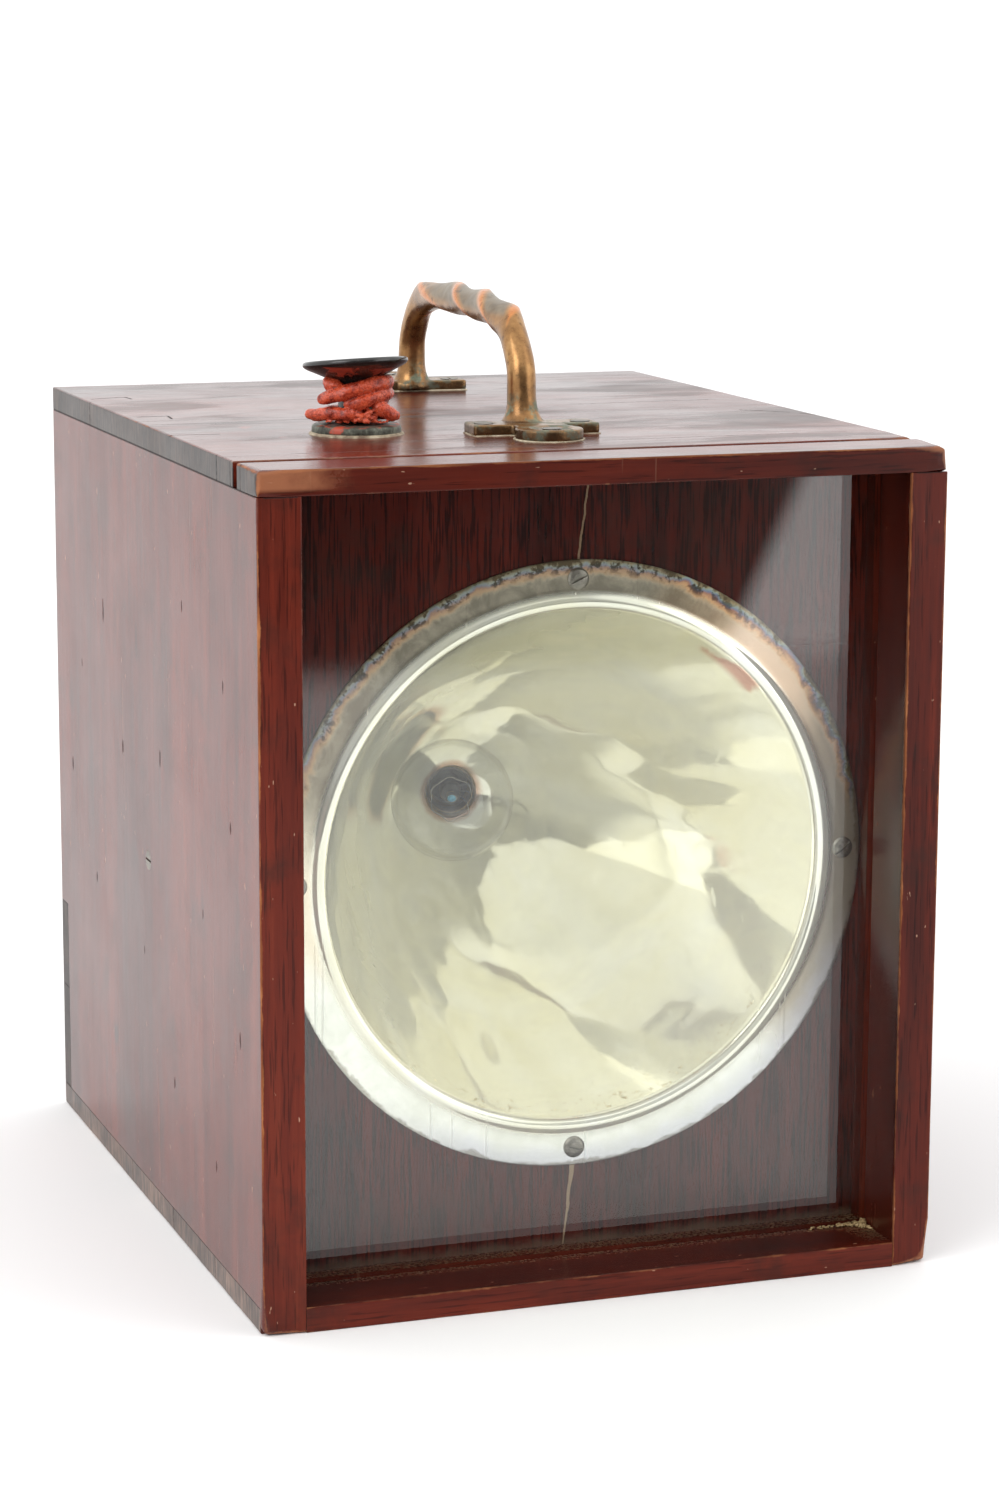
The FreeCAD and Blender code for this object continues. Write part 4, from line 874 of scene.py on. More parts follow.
def keep_largest(me, least_share=0.02):
    """Drops loose crumbs that a remesh may leave inside the skin."""
    bm = bmesh.new()
    bm.from_mesh(me)
    seen, groups = set(), []
    for v in bm.verts:
        if v in seen:
            continue
        st, g = [v], []
        seen.add(v)
        while st:
            q = st.pop()
            g.append(q)
            for e in q.link_edges:
                w_ = e.other_vert(q)
                if w_ not in seen:
                    seen.add(w_)
                    st.append(w_)
        groups.append(g)
    big = max(len(g) for g in groups)
    drop = [v for g in groups if len(g) < big * least_share for v in g]
    if drop:
        bmesh.ops.delete(bm, geom=drop, context="VERTS")
    bm.to_mesh(me)
    bm.free()


def catmull(pts, per=8):
    out = []
    P = [Vector(p) for p in pts]
    P = [P[0] * 2 - P[1]] + P + [P[-1] * 2 - P[-2]]
    for i in range(1, len(P) - 2):
        a, b, c, d = P[i - 1], P[i], P[i + 1], P[i + 2]
        for k in range(per):
            t = k / per
            out.append(0.5 * ((2 * b) + (c - a) * t + (2 * a - 5 * b + 4 * c - d) * t * t + (3 * b - a - 3 * c + d) * t ** 3))
    out.append(P[-2].copy())
    return out


def tube_into(bm, pts, rad, seg=24, ref=Vector((0, 0, 1)), section=None):
    """Closed tube along pts; rad(i, psi) gives the radius."""
    rows = []
    n = len(pts)
    last = None
    for i, p in enumerate(pts):
        t = (pts[min(i + 1, n - 1)] - pts[max(i - 1, 0)]).normalized()
        if last is None:
            s = t.cross(ref)
            if s.length < 1e-4:
                s = t.cross(Vector((1, 0, 0)))
            s.normalize()
        else:
            s = (last - t * last.dot(t)).normalized()
        last = s
        u = s.cross(t).normalized()
        row = []
        for k in range(seg):
            psi = 2 * math.pi * k / seg
            r = rad(i, psi)
            row.append(bm.verts.new(p + u * math.cos(psi) * r + s * math.sin(psi) * r))
        rows.append(row)
    for i in range(n - 1):
        for k in range(seg):
            k2 = (k + 1) % seg
            bm.faces.new((rows[i][k], rows[i][k2], rows[i + 1][k2], rows[i + 1][k]))
    for row, flip in ((rows[0], False), (rows[-1], True)):
        c = bm.verts.new(sum((v.co for v in row), Vector()) / seg)
        for k in range(seg):
            k2 = (k + 1) % seg
            bm.faces.new((row[k2], row[k], c) if not flip else (row[k], row[k2], c))


def ball_into(bm, c, r, sq=(1, 1, 1), sub=2):
    q = bmesh.ops.create_icosphere(bm, subdivisions=sub, radius=1.0)
    for v in q["verts"]:
        v.co = Vector((c[0] + v.co.x * r * sq[0], c[1] + v.co.y * r * sq[1], c[2] + v.co.z * r * sq[2]))


def slab_into(bm, outline, z0, z1):
    lo_ = [bm.verts.new((x, y, z0)) for x, y in outline]
    hi_ = [bm.verts.new((x, y, z1)) for x, y in outline]
    n = len(outline)
    for i in range(n):
        j = (i + 1) % n
        bm.faces.new((lo_[i], lo_[j], hi_[j], hi_[i]))
    bm.faces.new(hi_)
    bm.faces.new(list(reversed(lo_)))


def lathe(name, prof, centre, mat, body, stands_for, seg=96, tilt=None, angle=35.0, rough_edge=0.0):
    """Closed solid of revolution about Z. prof: (r, z) from the axis round to the axis or back to its start."""
    verts, faces = [], []
    rings = []
    for r, z in prof:
        if r < 1e-7:
            rings.append([len(verts)])
            verts.append(Vector((0, 0, z)))
        else:
            ring = []
            for s in range(seg):
                a = 2 * math.pi * s / seg
                rr = r + rough_edge * n1(math.cos(a) * 3.0, math.sin(a) * 3.0, z * 300)
                ring.append(len(verts))
                verts.append(Vector((rr * math.cos(a), rr * math.sin(a), z)))
            rings.append(ring)
    n = len(rings)
    closed = len(rings[0]) > 1 and len(rings[-1]) > 1
    for i in range(n if closed else n - 1):
        A, B = rings[i], rings[(i + 1) % n]
        for s in range(seg):
            s2 = (s + 1) % seg
            if len(A) == 1 and len(B) == 1:
                break
            if len(A) == 1:
                faces.append((A[0], B[s], B[s2]))
            elif len(B) == 1:
                faces.append((A[s], B[0], A[s2]))
            else:
                faces.append((A[s], B[s], B[s2], A[s2]))
    c = Vector(centre)
    if tilt is not None:
        piv, rot = tilt
        verts = [piv + rot @ (v + c - piv) for v in verts]
    else:
        verts = [v + c for v in verts]
    o = add_mesh(name, [tuple(v) for v in verts], faces, mat, body, stands_for, angle)
    bm = bmesh.new()
    bm.from_mesh(o.data)
    bmesh.ops.recalc_face_normals(bm, faces=bm.faces[:])
    bm.to_mesh(o.data)
    bm.free()
    return o


# ------------------------------------------------------------------ cast handle
HX, HY, HSK = 0.0045, 0.020, math.radians(3.47)
HC, HS = math.cos(HSK), math.sin(HSK)
TOP = 0.357


def hw(p, q, z):
    return Vector((HX + p * HC + q * HS, HY - p * HS + q * HC, z))


def hl(v):
    dx, dy = v.x - HX, v.y - HY
    return dx * HC - dy * HS, dx * HS + dy * HC, v.z


LINE = [(-95.4, 358.5), (-94.7, 365), (-93.7, 373), (-92.6, 383), (-87.4, 391), (-79.0, 398.4), (-66.0, 403.4), (-46, 405.4), (-23, 406.4), (0, 406.2),
        (23, 406.3), (46, 405.3), (66.0, 403.0), (79.5, 397.6), (88.0, 390.0), (93.6, 382), (95.0, 373), (95.4, 365), (95.8, 358.5)]


def line_z(q):
    """Height of the grip's centreline over q (metres in and out)."""
    qm = q * 1000.0
    for a, b in zip(LINE[4:-4], LINE[5:-3]):
        if a[0] <= qm <= b[0]:
            t = (qm - a[0]) / (b[0] - a[0])
            return (a[1] + (b[1] - a[1]) * t) * MM
    return 0.400


def twist(q):
    """Half turns of the two crests, along the grip in mm."""
    pts = ((-200.0, -5.31), (-79.0, -2.0), (-35.0, -1.0), (7.5, 0.0), (75.0, 1.0), (200.0, 2.85))
    for a, b in zip(pts, pts[1:]):
        if q <= b[0]:
            return a[1] + (b[1] - a[1]) * (q - a[0]) / (b[0] - a[0])
    return 1.0


def ridge(q, psi):
    """0 in a hollow to 1 on a crest; the two crests wind along the grip."""
    return 1.0 - abs(math.sin(psi - math.pi * twist(q * 1000.0)))


def grip_fade(q):
    a = abs(q * 1000.0)
    return max(0.0, min(1.0, (92.0 - a) / 16.0))


bm = bmesh.new()
cl = catmull([Vector((0, q * MM, z * MM)) for q, z in LINE], 10)
rows = []
SEG = 72
for i, c in enumerate(cl):
    t = (cl[min(i + 1, len(cl) - 1)] - cl[max(i - 1, 0)]).normalized()
    nrm = Vector((0, -t.z, t.y))
    if nrm.z < 0 and abs(c.y) < 0.085:
        nrm = -nrm
    leg = abs(c.y) > 0.080
    z = c.z * 1000
    base_r = 6.2 + 3.6 * math.exp(-max(0.0, z - 361.0) / 3.4) if z < 384 else 6.2
    gf = grip_fade(c.y)
    base_r += 0.55 * gf
    row = []
    for k in range(SEG):
        psi = 2 * math.pi * k / SEG
        amp = 2.3 * gf * (0.70 + 0.30 * math.cos(psi))
        r = (base_r - 0.75 * gf + amp * ridge(c.y, psi) ** 0.9) * MM
        r += 0.00016 * n1(c.y * 140 + math.cos(psi) * 1.3, z * 0.14, math.sin(psi) * 1.3)
        p_ = math.sin(psi) * r
        o_ = nrm * math.cos(psi) * r
        v = c + o_
        row.append(bm.verts.new(hw(p_, v.y, v.z)))
    rows.append(row)
for i in range(len(rows) - 1):
    for k in range(SEG):
        k2 = (k + 1) % SEG
        bm.faces.new((rows[i][k], rows[i][k2], rows[i + 1][k2], rows[i + 1][k]))
bm.faces.new(list(reversed(rows[0])))
bm.faces.new(rows[-1])
bmesh.ops.recalc_face_normals(bm, faces=bm.faces[:])
foot_outlines = []
for s, (b0, b1, c0, c1), (lp_, lq_, lr_) in ((-1, (-26.0, 30.0, -112.0, -94.0), (2.5, -127.5, 14.5)), (1, (-27.0, 26.0, 90.0, 108.0), (0.0, 125.0, 15.0))):
    def P2(p, q):
        v = hw(p * MM, q * MM, 0)
        return (v.x, v.y)

    e = 0.9
    bar = [(b0 + e, c0), (b1 - e, c0), (b1, c0 + e), (b1, c1 - e), (b1 - e, c1), (b0 + e, c1), (b0, c1 - e), (b0, c0 + e)]
    o1 = [P2(p, q) for p, q in bar]
    qm = (c0 + c1) / 2
    if s < 0:
        lobe = [(lp_ - 11.0, qm)] + [(lp_ + lr_ * math.cos(math.radians(a)), lq_ + lr_ * math.sin(math.radians(a))) for a in range(140, 401, 8)] + [(lp_ + 11.0, qm)]
    else:
        lobe = [(lp_ + 11.0, qm)] + [(lp_ + lr_ * math.cos(math.radians(a)), lq_ + lr_ * math.sin(math.radians(a))) for a in range(-40, 221, 8)] + [(lp_ - 11.0, qm)]
    o2 = [P2(p, q) for p, q in lobe]
    zt = TOP + 0.0049
    slab_into(bm, o1, TOP + 0.00002, zt)
    slab_into(bm, o2, TOP + 0.00002, zt)
    foot_outlines += [o1, o2]
hd = settle(to_object("handle_cast", bm), 0.00075, 2, 0.5)
keep_largest(hd.data)
me = hd.data
SCREWS_H = [(-0.0195, -0.103), (0.0235, -0.103), (0.0025, -0.1305), (-0.0205, 0.099), (0.0195, 0.099), (0, 0.128)]
cr = me.attributes.new("crest", "FLOAT", "POINT")
gr_ = me.attributes.new("grip", "FLOAT", "POINT")
for v in me.vertices:
    p_, q_, z_ = hl(v.co)
    # dished seats round the screws
    if z_ < TOP + 0.0062 and z_ > TOP + 0.0035:
        for sp_, sq_ in SCREWS_H:
            d = math.hypot((p_ - sp_), (q_ - sq_))
            big = abs(sq_) > 0.11
            R_ = 0.0088 if big else 0.0062
            if d < R_:
                v.co.z -= (0.0007 if big else 0.00035) * (1 - (d / R_) ** 4)
            elif big and d < 0.0112:
                v.co.z += 0.00035 * math.sin(math.pi * (d - R_) / (0.0112 - R_))
    if v.co.z > 0.4137:
        v.co.z = 0.4137
    g = grip_fade(q_) if z_ > 0.394 else 0.0
    psi = math.atan2(p_, z_ - line_z(q_)) if g > 0 else 0.0
    cr.data[v.index].value = (ridge(q_, psi) ** 2.2) * g if g > 0 else 0.0
    gr_.data[v.index].value = g


def bronze_mat():
    M = Mat("cast_bronze")
    p = M.obj()
    x, y, z = M.sep(p)
    n_a = M.noise(p, 55.0, 5.0, 0.62)
    n_b = M.noise(p, 260.0, 5.0, 0.7)
    n_c = M.noise(M.mapping(p, loc=(3, 1, 2)), 120.0, 4.0, 0.65)
    f = M.add(M.mul(n_a, 0.6), M.mul(n_b, 0.4))
    col = M.ramp(f, [(0.34, (0.15, 0.080, 0.036)), (0.46, (0.27, 0.140, 0.056)), (0.56, (0.37, 0.198, 0.078)), (0.70, (0.50, 0.30, 0.135))])
    crest, grip = M.attr("crest"), M.attr("grip")
    hollow = M.mul(M.mul(M.rng(grip, 0.55, 0.95), M.rng(crest, 0.34, 0.08)), M.mul(M.rng(z, 0.4035, 0.4075), M.rng(y, 0.050, 0.072, 1.0, 0.0)))
    hc = M.ramp(n_c, [(0.35, (0.14, 0.125, 0.095)), (0.65, (0.27, 0.245, 0.19))])
    col = M.mix(M.mul(hollow, 0.8), col, hc)
    ck = M.rng(M.add(crest, M.mul(M.math("SUBTRACT", n_a, 0.5), 0.5)), 0.30, 0.72)
    col = M.mix(M.mul(ck, 0.85), col, M.ramp(n_b, [(0.3, (0.52, 0.175, 0.050)), (0.7, (0.74, 0.30, 0.095))]))
    spots = M.ramp(n_c, [(0.60, 0.0), (0.68, 1.0)])
    col = M.mix(M.mul(spots, 0.55), col, (0.030, 0.022, 0.016))
    # verdigris low on the front leg and on the feet
    low = M.rng(M.add(z, M.mul(M.math("SUBTRACT", n_a, 0.5), 0.030)), 0.362, 0.374, 1.0, 0.0)
    vg = M.mul(M.mul(low, M.rng(n_c, 0.50, 0.60)), 0.75)
    col = M.mix(vg, col, M.ramp(n_b, [(0.35, (0.060, 0.085, 0.055)), (0.6, (0.17, 0.24, 0.17)), (0.75, (0.48, 0.50, 0.33))]))
    foot = M.rng(z, 0.3618, 0.3632, 1.0, 0.0)
    col = M.mix(M.mul(foot, 0.35), col, (0.10, 0.085, 0.055))
    side_ = M.rng(z, 0.3612, 0.3618, 1.0, 0.0)
    col = M.mix(M.mul(M.mul(side_, M.rng(n_b, 0.42, 0.55)), 0.5), col, (0.028, 0.020, 0.015))
    rr = M.add(M.mul(n_b, 0.20), 0.19)
    rr = M.add(rr, M.mul(vg, 0.35))
    rr = M.add(rr, M.mul(hollow, 0.10))
    M.set(Base_Color=col, Metallic=M.math("SUBTRACT", 0.86, M.mul(vg, 0.8)), Roughness=rr)
    b = M.bump(n_b, 0.12, 0.00025)
    b = M.bump(n_c, 0.10, 0.0004, b)
    M.set(Normal=b)
    return M.m


finish_piece(hd, bronze_mat(), "case", "handle", 60.0)

# a pale line of old wax squeezed out under the feet


def grow(outline, d, seed):
    c = (sum(x for x, y in outline) / len(outline), sum(y for x, y in outline) / len(outline))
    # densify, then push outward
    dense = []
    n = len(outline)
    for i in range(n):
        a, b = outline[i], outline[(i + 1) % n]
        L = math.hypot(b[0] - a[0], b[1] - a[1])
        k = max(1, int(L / 0.0022))
        for j in range(k):
            dense.append((a[0] + (b[0] - a[0]) * j / k, a[1] + (b[1] - a[1]) * j / k))
    out = []
    m_ = len(dense)
    for i in range(m_):
        a, b = dense[i - 1], dense[(i + 1) % m_]
        tx, ty = b[0] - a[0], b[1] - a[1]
        L = math.hypot(tx, ty) or 1.0
        nx, ny = ty / L, -tx / L
        if nx * (dense[i][0] - c[0]) + ny * (dense[i][1] - c[1]) < 0:
            nx, ny = -nx, -ny
        w_ = d * (0.75 + 0.9 * n1(dense[i][0] * 320 + seed, dense[i][1] * 320))
        out.append((dense[i][0] + nx * w_, dense[i][1] + ny * w_))
    return out


bm = bmesh.new()
for k, ol in enumerate(foot_outlines):
    slab_into(bm, grow(ol, 0.00075, k * 3.1), TOP - 0.00035, TOP + 0.00055)
bmesh.ops.recalc_face_normals(bm, faces=bm.faces[:])
wax = settle(to_object("foot_wax", bm), 0.0004, 1, 0.5)


# ------------------------------------------------------------------ knob, its perished rubber sleeve, and its base
K = Vector((-0.072, -0.062, 0.0))
RT = Vector((0.9557, -0.2944, 0.0))
FW = Vector((-0.2944, -0.9557, 0.0))


def kp(a, b, z):
    """a to the right, b toward the front left, z height, all in mm, about the knob's axis."""
    return K + RT * (a * MM) + FW * (b * MM) + Vector((0, 0, z * MM))


def ebonite_mat():
    M = Mat("black_ebonite")
    p = M.obj()
    x, y, z = M.sep(p)
    a = M.noise(p, 180.0, 5.0, 0.65)
    b = M.noise(p, 900.0, 3.0, 0.6)
    col = M.ramp(a, [(0.35, (0.0065, 0.0060, 0.0058)), (0.60, (0.013, 0.012, 0.0115)), (0.75, (0.040, 0.033, 0.028))])
    # red smears under the rim at the front left
    dx = M.math("SUBTRACT", x, -0.0845)
    dy = M.math("SUBTRACT", y, -0.0790)
    d = M.math("SQRT", M.add(M.mul(dx, dx), M.mul(dy, dy)))
    smear = M.mul(M.rng(M.add(d, M.mul(M.math("SUBTRACT", M.noise(p, 330.0, 4.0, 0.6), 0.5), 0.016)), 0.0062, 0.0088, 1.0, 0.0), M.rng(z, 0.3872, 0.3864))
    dx2 = M.math("SUBTRACT", x, -0.0625)
    dy2 = M.math("SUBTRACT", y, -0.0795)
    d2 = M.math("SQRT", M.add(M.mul(dx2, dx2), M.mul(dy2, dy2)))
    smear2 = M.mul(M.rng(M.add(d2, M.mul(M.math("SUBTRACT", M.noise(p, 300.0, 4.0, 0.6), 0.5), 0.014)), 0.0058, 0.0090, 0.7, 0.0), M.rng(z, 0.3866, 0.3856))
    sm = M.math("MAXIMUM", smear, smear2)
    col = M.mix(sm, col, M.ramp(a, [(0.3, (0.23, 0.022, 0.010)), (0.7, (0.48, 0.065, 0.028))]))
    rr = M.add(M.mul(a, 0.22), 0.07)
    rr = M.add(rr, M.mul(sm, 0.3))
    M.set(Base_Color=col, Roughness=rr, IOR=1.6)
    n_ = M.bump(a, 0.12, 0.0005)
    n_ = M.bump(sm, 0.6, 0.0006, n_)
    M.set(Normal=M.bump(b, 0.10, 0.00015, n_))
    return M.m


piv = Vector((-0.072, -0.062, 0.380))
rot = Matrix.Rotation(math.radians(-6.0), 3, RT) @ Matrix.Rotation(math.radians(3.5), 3, FW)
ebon = ebonite_mat()
disc_prof = [(0.0, 376.0), (7.6, 376.0), (8.2, 377.6), (9.5, 379.5), (12.5, 381.3), (16.5, 383.3), (20.2, 385.0), (21.6, 385.8), (22.35, 386.55), (22.6, 387.2), (22.5, 387.85),
             (22.1, 388.4), (21.4, 388.75), (20.6, 388.8), (19.8, 388.55), (18.6, 388.25), (15.0, 388.2), (8.0, 388.15), (3.0, 388.1), (0.0, 388.1)]
knob_disc = lathe("knob_ebonite_disc", [(r * MM, z * MM) for r, z in disc_prof], (K.x, K.y, 0), ebon, "knob", "knob", 120, (piv, rot), 40.0, 0.00005)
neck_prof = [(0.0, 361.9), (7.6, 361.9), (8.0, 362.4), (8.0, 368.0), (7.7, 372.0), (7.9, 377.5), (8.6, 380.0), (0.0, 380.0)]
knob_neck = lathe("knob_ebonite_neck", [(r * MM, z * MM) for r, z in neck_prof], (K.x, K.y, 0), ebon, "knob", (), 64, None, 40.0, 0.00012)


def rubber_mat():
    M = Mat("perished_rubber")
    p = M.obj()
    a = M.noise(p, 230.0, 5.0, 0.66)
    b = M.noise(p, 1300.0, 4.0, 0.65)
    c = M.noise(M.mapping(p, loc=(4, 2, 1)), 90.0, 3.0, 0.5)
    f = M.add(M.mul(a, 0.5), M.add(M.mul(b, 0.25), M.mul(c, 0.25)))
    col = M.ramp(f, [(0.36, (0.050, 0.008, 0.006)), (0.44, (0.30, 0.030, 0.013)), (0.52, (0.62, 0.085, 0.034)), (0.66, (0.80, 0.16, 0.070))])
    # painted shade: where pointiness is low, in the hollows between the coils, the colour is darkened toward black
    geo = M.n("ShaderNodeNewGeometry")
    pt = geo.outputs["Pointiness"]
    col = M.mix(M.mul(M.rng(pt, 0.48, 0.42), 0.6), col, (0.045, 0.006, 0.005))
    cr_ = M.voronoi(M.mapping(p, scale=(1.0, 1.0, 1.7)), 330.0, "DISTANCE_TO_EDGE")
    ck = M.mul(M.rng(cr_, 0.0, 0.035, 1.0, 0.0), M.rng(c, 0.46, 0.60))
    col = M.mix(M.mul(ck, 0.75), col, (0.060, 0.008, 0.006))
    M.set(Base_Color=col, Roughness=M.add(M.mul(b, 0.26), 0.13), IOR=1.50, Specular_IOR_Level=0.5)
    n_ = M.bump(M.math("SUBTRACT", 1.0, ck), 0.5, 0.0004)
    n_ = M.bump(a, 0.45, 0.0010, n_)
    M.set(Normal=M.bump(b, 0.35, 0.0003, n_))
    return M.m


def sausage(bm, pts, r0, taper=0.35, seg=20, wob=0.18, seed=0.0):
    c = catmull([kp(*p) for p in pts], 7)
    n = len(c)

    def rad(i, psi):
        t = i / (n - 1)
        e = min(t, 1 - t) * (n - 1) * 0.9
        k = 1.0 - taper * math.exp(-e / 2.2)
        q = c[i]
        return r0 * MM * k * (1.0 + wob * n1(q.x * 170 + seed, q.y * 170 + math.cos(psi) * 0.8, q.z * 170 + math.sin(psi) * 0.8))

    tube_into(bm, c, rad, seg)
    ball_into(bm, c[0], r0 * MM * (1 - taper) * 1.02)
    ball_into(bm, c[-1], r0 * MM * (1 - taper) * 1.02)


bm = bmesh.new()
sausage(bm, [(-14.4, 6.0, 372.4), (-9.0, 9.6, 374.2), (-1.8, 11.0, 376.4), (6.5, 9.6, 378.4), (12.0, 5.5, 379.4), (12.8, -2.0, 378.8), (6.0, -9.6, 377.6), (-4.0, -10.4, 376.6), (-10.5, -5.0, 376.0)], 3.15, 0.22, seed=1.0)
sausage(bm, [(-3.4, 10.0, 370.6), (1.0, 11.4, 371.3), (6.5, 10.2, 372.8), (12.0, 5.5, 374.4), (12.6, -2.4, 374.0), (6.0, -9.6, 372.8), (-1.0, -10.6, 372.6)], 3.0, 0.30, seed=5.0)
sausage(bm, [(8.0, 8.4, 370.4), (11.4, 8.6, 368.2), (14.6, 7.4, 366.2), (16.6, 6.0, 365.4)], 3.1, 0.30, seed=9.0)
sausage(bm, [(-19.6, 3.0, 365.6), (-15.8, 5.4, 365.5), (-11.5, 8.6, 366.4), (-6.2, 10.4, 366.4), (-2.0, 11.0, 366.0)], 2.9, 0.18, seed=13.0)
sausage(bm, [(-12.0, 4.2, 379.6), (-10.4, 6.8, 378.2), (-7.4, 8.0, 377.6)], 3.3, 0.25, seed=17.0)
sausage(bm, [(12.5, 2.0, 365.6), (8.5, -8.6, 365.4), (-2.0, -12.0, 365.2), (-11.5, -6.0, 365.4), (-13.0, 2.0, 365.4)], 3.1, 0.3, seed=21.0)
sausage(bm, [(4.6, 8.6, 381.0), (8.6, 6.4, 381.4), (10.0, 2.0, 381.2)], 1.5, 0.3, seed=25.0)
sausage(bm, [(10.6, 7.0, 376.6), (11.8, 6.6, 373.2), (12.0, 6.8, 370.6)], 2.3, 0.3, seed=29.0)
# a thin layer on the neck joins the coils
sausage(bm, [(0.0, 7.6, 366.0), (1.5, 7.9, 371.0), (0.5, 7.6, 376.0)], 3.0, 0.2, seed=31.0)
# crumbs where the rubber has broken up
import random
rnd = random.Random(11)
for k in range(150):
    a = rnd.uniform(-9.0, 9.5)
    z = rnd.uniform(362.9, 368.2)
    b = math.sqrt(max(1.0, 11.6 ** 2 - a * a)) + rnd.uniform(-1.4, 1.2)
    r = rnd.uniform(0.55, 1.25)
    if z - r < 362.0:
        z = 362.0 + r
    ball_into(bm, kp(a, b, z), r * MM, (rnd.uniform(0.8, 1.3), rnd.uniform(0.8, 1.3), rnd.uniform(0.7, 1.2)), 1)
for k in range(40):
    a = rnd.uniform(-13.5, 15.0)
    b = rnd.uniform(6.5, 10.5)
    ball_into(bm, kp(a, b, rnd.uniform(362.7, 363.8)), rnd.uniform(0.5, 0.8) * MM, (1.3, 1.3, 0.7), 1)
for k in range(70):
    t = rnd.random()
    a, z = -12.0 + 24.0 * t, 373.4 + 6.0 * t
    ball_into(bm, kp(a + rnd.uniform(-1, 1), 12.2 - abs(a) * 0.30, z + rnd.uniform(-2.4, 2.4)), rnd.uniform(0.35, 0.8) * MM, (1.4, 1.0, 0.8), 1)
rb = settle(to_object("rubber_sleeve", bm), 0.00036, 1, 0.35)
keep_largest(rb.data, 0.01)
normals = [v.normal.copy() for v in rb.data.vertices]
moved = []
for v, nv in zip(rb.data.vertices, normals):
    q = v.co
    h = 0.00022 * n1(q.x * 420, q.y * 420, q.z * 420) + 0.00010 * n1(q.x * 1300, q.y * 1300, q.z * 1300)
    moved += [q.x + nv.x * h, q.y + nv.y * h, max(0.36185, q.z + nv.z * h)]
rb.data.vertices.foreach_set("co", moved)
rb.data.update()
finish_piece(rb, rubber_mat(), "knob", "rubber_wrap", 180.0)


def base_mat():
    M = Mat("base_patina")
    p = M.obj()
    x, y, z = M.sep(p)
    a = M.noise(p, 150.0, 5.0, 0.66)
    b = M.noise(p, 700.0, 4.0, 0.6)
    f = M.add(M.mul(a, 0.6), M.mul(b, 0.4))
    col = M.ramp(f, [(0.36, (0.026, 0.024, 0.018)), (0.50, (0.085, 0.088, 0.068)), (0.64, (0.20, 0.215, 0.165)), (0.76, (0.36, 0.36, 0.26))])
    top = M.rng(z, 0.3606, 0.3613)
    red = M.mul(top, M.rng(M.noise(M.mapping(p, loc=(1.3, 0, 0)), 130.0, 4.0, 0.6), 0.50, 0.60))
    dx = M.math("SUBTRACT", x, -0.0850)
    dy = M.math("SUBTRACT", y, -0.0760)
    d = M.math("SQRT", M.add(M.mul(dx, dx), M.mul(dy, dy)))
    drip = M.rng(M.add(d, M.mul(M.math("SUBTRACT", M.noise(p, 300.0, 4.0, 0.6), 0.5), 0.007)), 0.0018, 0.0034, 1.0, 0.0)
    drip = M.mul(drip, M.rng(z, 0.3580, 0.3590))
    rd = M.math("MAXIMUM", M.mul(red, 0.85), drip)
    col = M.mix(rd, col, (0.46, 0.065, 0.030))
    M.set(Base_Color=col, Metallic=M.math("SUBTRACT", 0.45, M.mul(rd, 0.45)), Roughness=M.add(M.mul(b, 0.3), 0.34))
    M.set(Normal=M.bump(M.add(f, rd), 0.3, 0.0004))
    return M.m


base_prof = [(3.56, 357.0), (19.2, 357.0), (19.25, 358.6), (19.2, 360.0), (18.9, 360.7), (18.2, 361.2), (17.2, 361.45), (16.0, 361.5), (3.56, 361.5)]
kb = lathe("knob_base_disc", [(r * MM, z * MM) for r, z in base_prof], (K.x, K.y, 0), base_mat(), "case", "knob_base", 96, None, 50.0, 0.00008)


def putty_mat():
    M = Mat("old_wax")
    p = M.obj()
    a = M.noise(p, 260.0, 5.0, 0.65)
    b = M.noise(p, 60.0, 3.0, 0.6)
    col = M.ramp(M.add(M.mul(a, 0.6), M.mul(b, 0.4)), [(0.38, (0.16, 0.105, 0.065)), (0.52, (0.42, 0.35, 0.24)), (0.66, (0.64, 0.57, 0.42))])
    M.set(Base_Color=col, Roughness=M.add(M.mul(a, 0.2), 0.55), Normal=M.bump(a, 0.4, 0.0004))
    return M.m


pm_ = putty_mat()
ring_prof = [(19.27, 357.02), (20.5, 357.02), (20.35, 357.35), (19.9, 357.8), (19.27, 358.1)]
ks = lathe("knob_base_wax", [(r * MM, z * MM) for r, z in ring_prof], (K.x, K.y, 0), pm_, "case", "base_seal", 120, None, 60.0, 0.00035)
finish_piece(wax, pm_, "case", (), 60.0)

for sp in frame["record"]["subparts"]:
    o = N[sp["node"]]
    if sp["material_slot"] in SL and not o.hide_render:
        assign(o, SL[sp["material_slot"]])

# ------------------------------------------------------------------ crumbs of old putty heaped in the corner of the opening
bm = bmesh.new()
rnd = random.Random(5)
for k in range(230):
    d = rnd.expovariate(1 / 7.0)
    if d > 34:
        continue
    x = 132.3 - d
    q = rnd.random()
    y = -153.0 - 2.2 * q - (9.0 * rnd.random() ** 2 * math.exp(-d / 6.0))
    r = rnd.uniform(0.25, 0.75)
    top = 2.6 * math.exp(-d / 7.0) * max(0.0, 1.0 - (-153.0 - y) / 5.0)
    z = 11.0 + r * 0.8 + rnd.random() * top
    sx = rnd.uniform(0.8, 1.5)
    ball_into(bm, (min(x, 132.9 - r * sx) * MM, y * MM, z * MM), r * MM, (sx, rnd.uniform(0.7, 1.1), rnd.uniform(0.6, 1.0)), 1)
cm = Mat("putty_crumbs")
p = cm.obj()
a = cm.noise(p, 700.0, 3.0, 0.6)
cm.set(Base_Color=cm.ramp(a, [(0.35, (0.13, 0.075, 0.030)), (0.5, (0.34, 0.23, 0.10)), (0.68, (0.52, 0.40, 0.22))]), Roughness=cm.add(cm.mul(a, 0.2), 0.7), Normal=cm.bump(a, 0.4, 0.0003))
finish_piece(to_object("corner_crumbs", bm), cm.m, "case", (), 50.0)


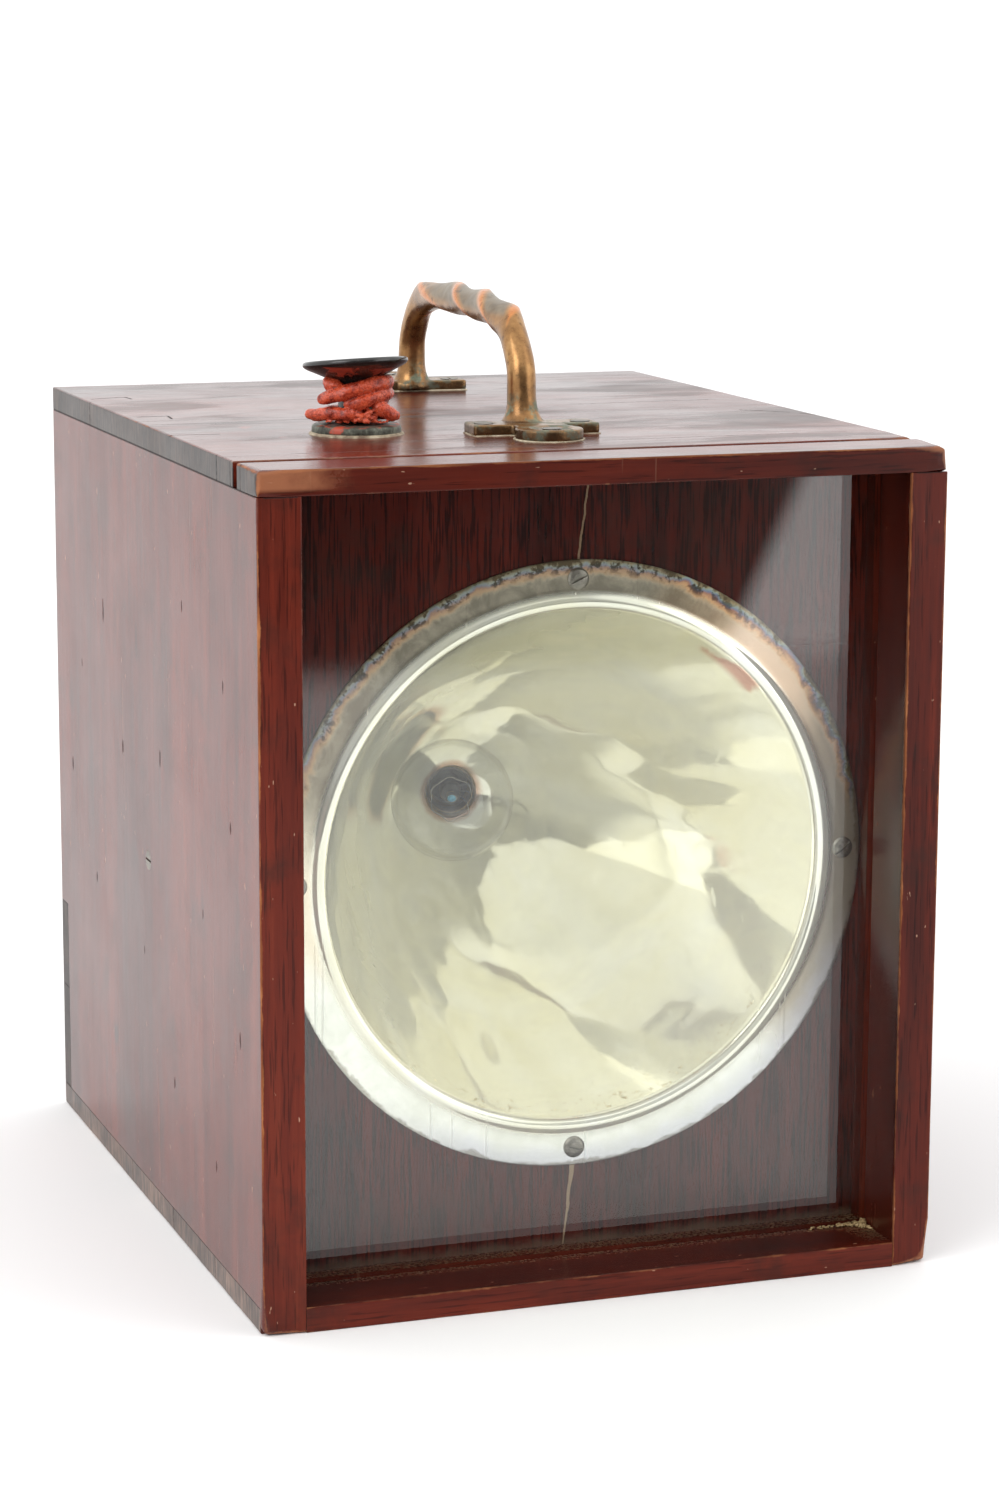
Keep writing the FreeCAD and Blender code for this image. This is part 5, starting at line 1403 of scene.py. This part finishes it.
# the small blue bead that holds the filament's supports
bead = Mat("blue_bead")
p = bead.obj()
bead.set(Base_Color=bead.ramp(bead.noise(p, 900.0, 3.0, 0.6), [(0.35, (0.03, 0.20, 0.38)), (0.65, (0.10, 0.42, 0.62))]), Roughness=bead.rng(bead.noise(p, 300.0), 0.3, 0.7, 0.05, 0.25))
bm = bmesh.new()
ball_into(bm, AX_O + AX_D * 0.028, 0.0018, (1.15, 1.0, 0.9), 3)
finish_piece(to_object("lamp_bead", bm), bead.m, "lamp", (), 60.0)

# ------------------------------------------------------------------ stage and light
def plane(name, verts, mat):
    me = bpy.data.meshes.new(name)
    me.from_pydata(verts, [], [tuple(range(len(verts)))])
    o = bpy.data.objects.new(name, me)
    SC.collection.objects.link(o)
    me.materials.append(mat)
    return o


F = Mat("floor_white")
F.set(Base_Color=(0.93, 0.93, 0.93), Roughness=0.9, Alpha=F.rng(F.sep(F.obj())[1], -1.74, -1.50))
plane("floor", [(-9, -1.76, 0), (9, -1.76, 0), (9, 9, 0), (-9, 9, 0)], F.m)

w = bpy.data.worlds.new("world")
SC.world = w
w.use_nodes = True
wt = w.node_tree
wt.nodes.clear()
wo = wt.nodes.new("ShaderNodeOutputWorld")


class W(Mat):
    def __init__(self, t):
        self.t = t
        self.tc = None


X = W(wt)
gen = X.coord("Generated")
gx, gy, gz = X.sep(gen)
az = X.math("ARCTAN2", gx, X.mul(gy, -1.0))
el = X.math("ARCSINE", gz)
da = X.math("ABSOLUTE", X.math("SUBTRACT", az, -0.06))
de = X.math("ABSOLUTE", X.math("SUBTRACT", el, 0.12))
a_ = X.rng(da, 0.46, 0.62)
b_ = X.rng(de, 0.42, 0.60)
lit = X.math("MAXIMUM", a_, b_)
bgd = X.n("ShaderNodeBackground")
bgd.inputs[0].default_value = (1, 1, 1, 1)
# the bright panel at the right, its edge leaning with the height
edge = X.add(az, X.mul(el, -0.44))
panel = X.mul(X.rng(edge, 0.466, 0.474), X.mul(X.rng(edge, 1.02, 1.10, 1.0, 0.0), X.rng(el, 0.85, 0.95, 1.0, 0.0)))
low = X.rng(el, -0.02, 0.16, 0.02, 0.34)
dim = X.add(X.mul(X.rng(lit, 0.0, 1.0, 1.0, 0.0, False), low), X.mul(lit, 1.30))
X.l(X.add(X.mul(dim, X.math("SUBTRACT", 1.0, panel)), X.mul(panel, 2.1)), bgd.inputs[1])
bgw = X.n("ShaderNodeBackground")
bgw.inputs[0].default_value = (1, 1, 1, 1)
bgw.inputs[1].default_value = 1.3
lp = X.n("ShaderNodeLightPath")
mx = X.n("ShaderNodeMixShader")
X.l(lp.outputs["Is Camera Ray"], mx.inputs[0])
X.l(bgd.outputs[0], mx.inputs[1])
X.l(bgw.outputs[0], mx.inputs[2])
X.l(mx.outputs[0], wo.inputs[0])


def area(name, loc, target, sx, sy, power):
    ld = bpy.data.lights.new(name, "AREA")
    ld.shape = "RECTANGLE"
    ld.size, ld.size_y = sx, sy
    ld.energy = power
    o = bpy.data.objects.new(name, ld)
    SC.collection.objects.link(o)
    o.location = loc
    d = Vector(target) - Vector(loc)
    o.rotation_euler = d.to_track_quat("-Z", "Y").to_euler()
    return o


def area_dir(name, az_deg, el_deg, dist, sx, sy, radiance):
    a, e = math.radians(az_deg), math.radians(el_deg)
    c = Vector((0, -0.14, 0.18))
    d = Vector((math.sin(a) * math.cos(e), -math.cos(a) * math.cos(e), math.sin(e)))
    # radiance of a flat lambertian lamp: power / (pi * area)
    return area(name, tuple(c + d * dist), tuple(c), sx, sy, radiance * math.pi * sx * sy)


area_dir("key_left", -62, 38, 2.4, 1.3, 1.3, 3.2)
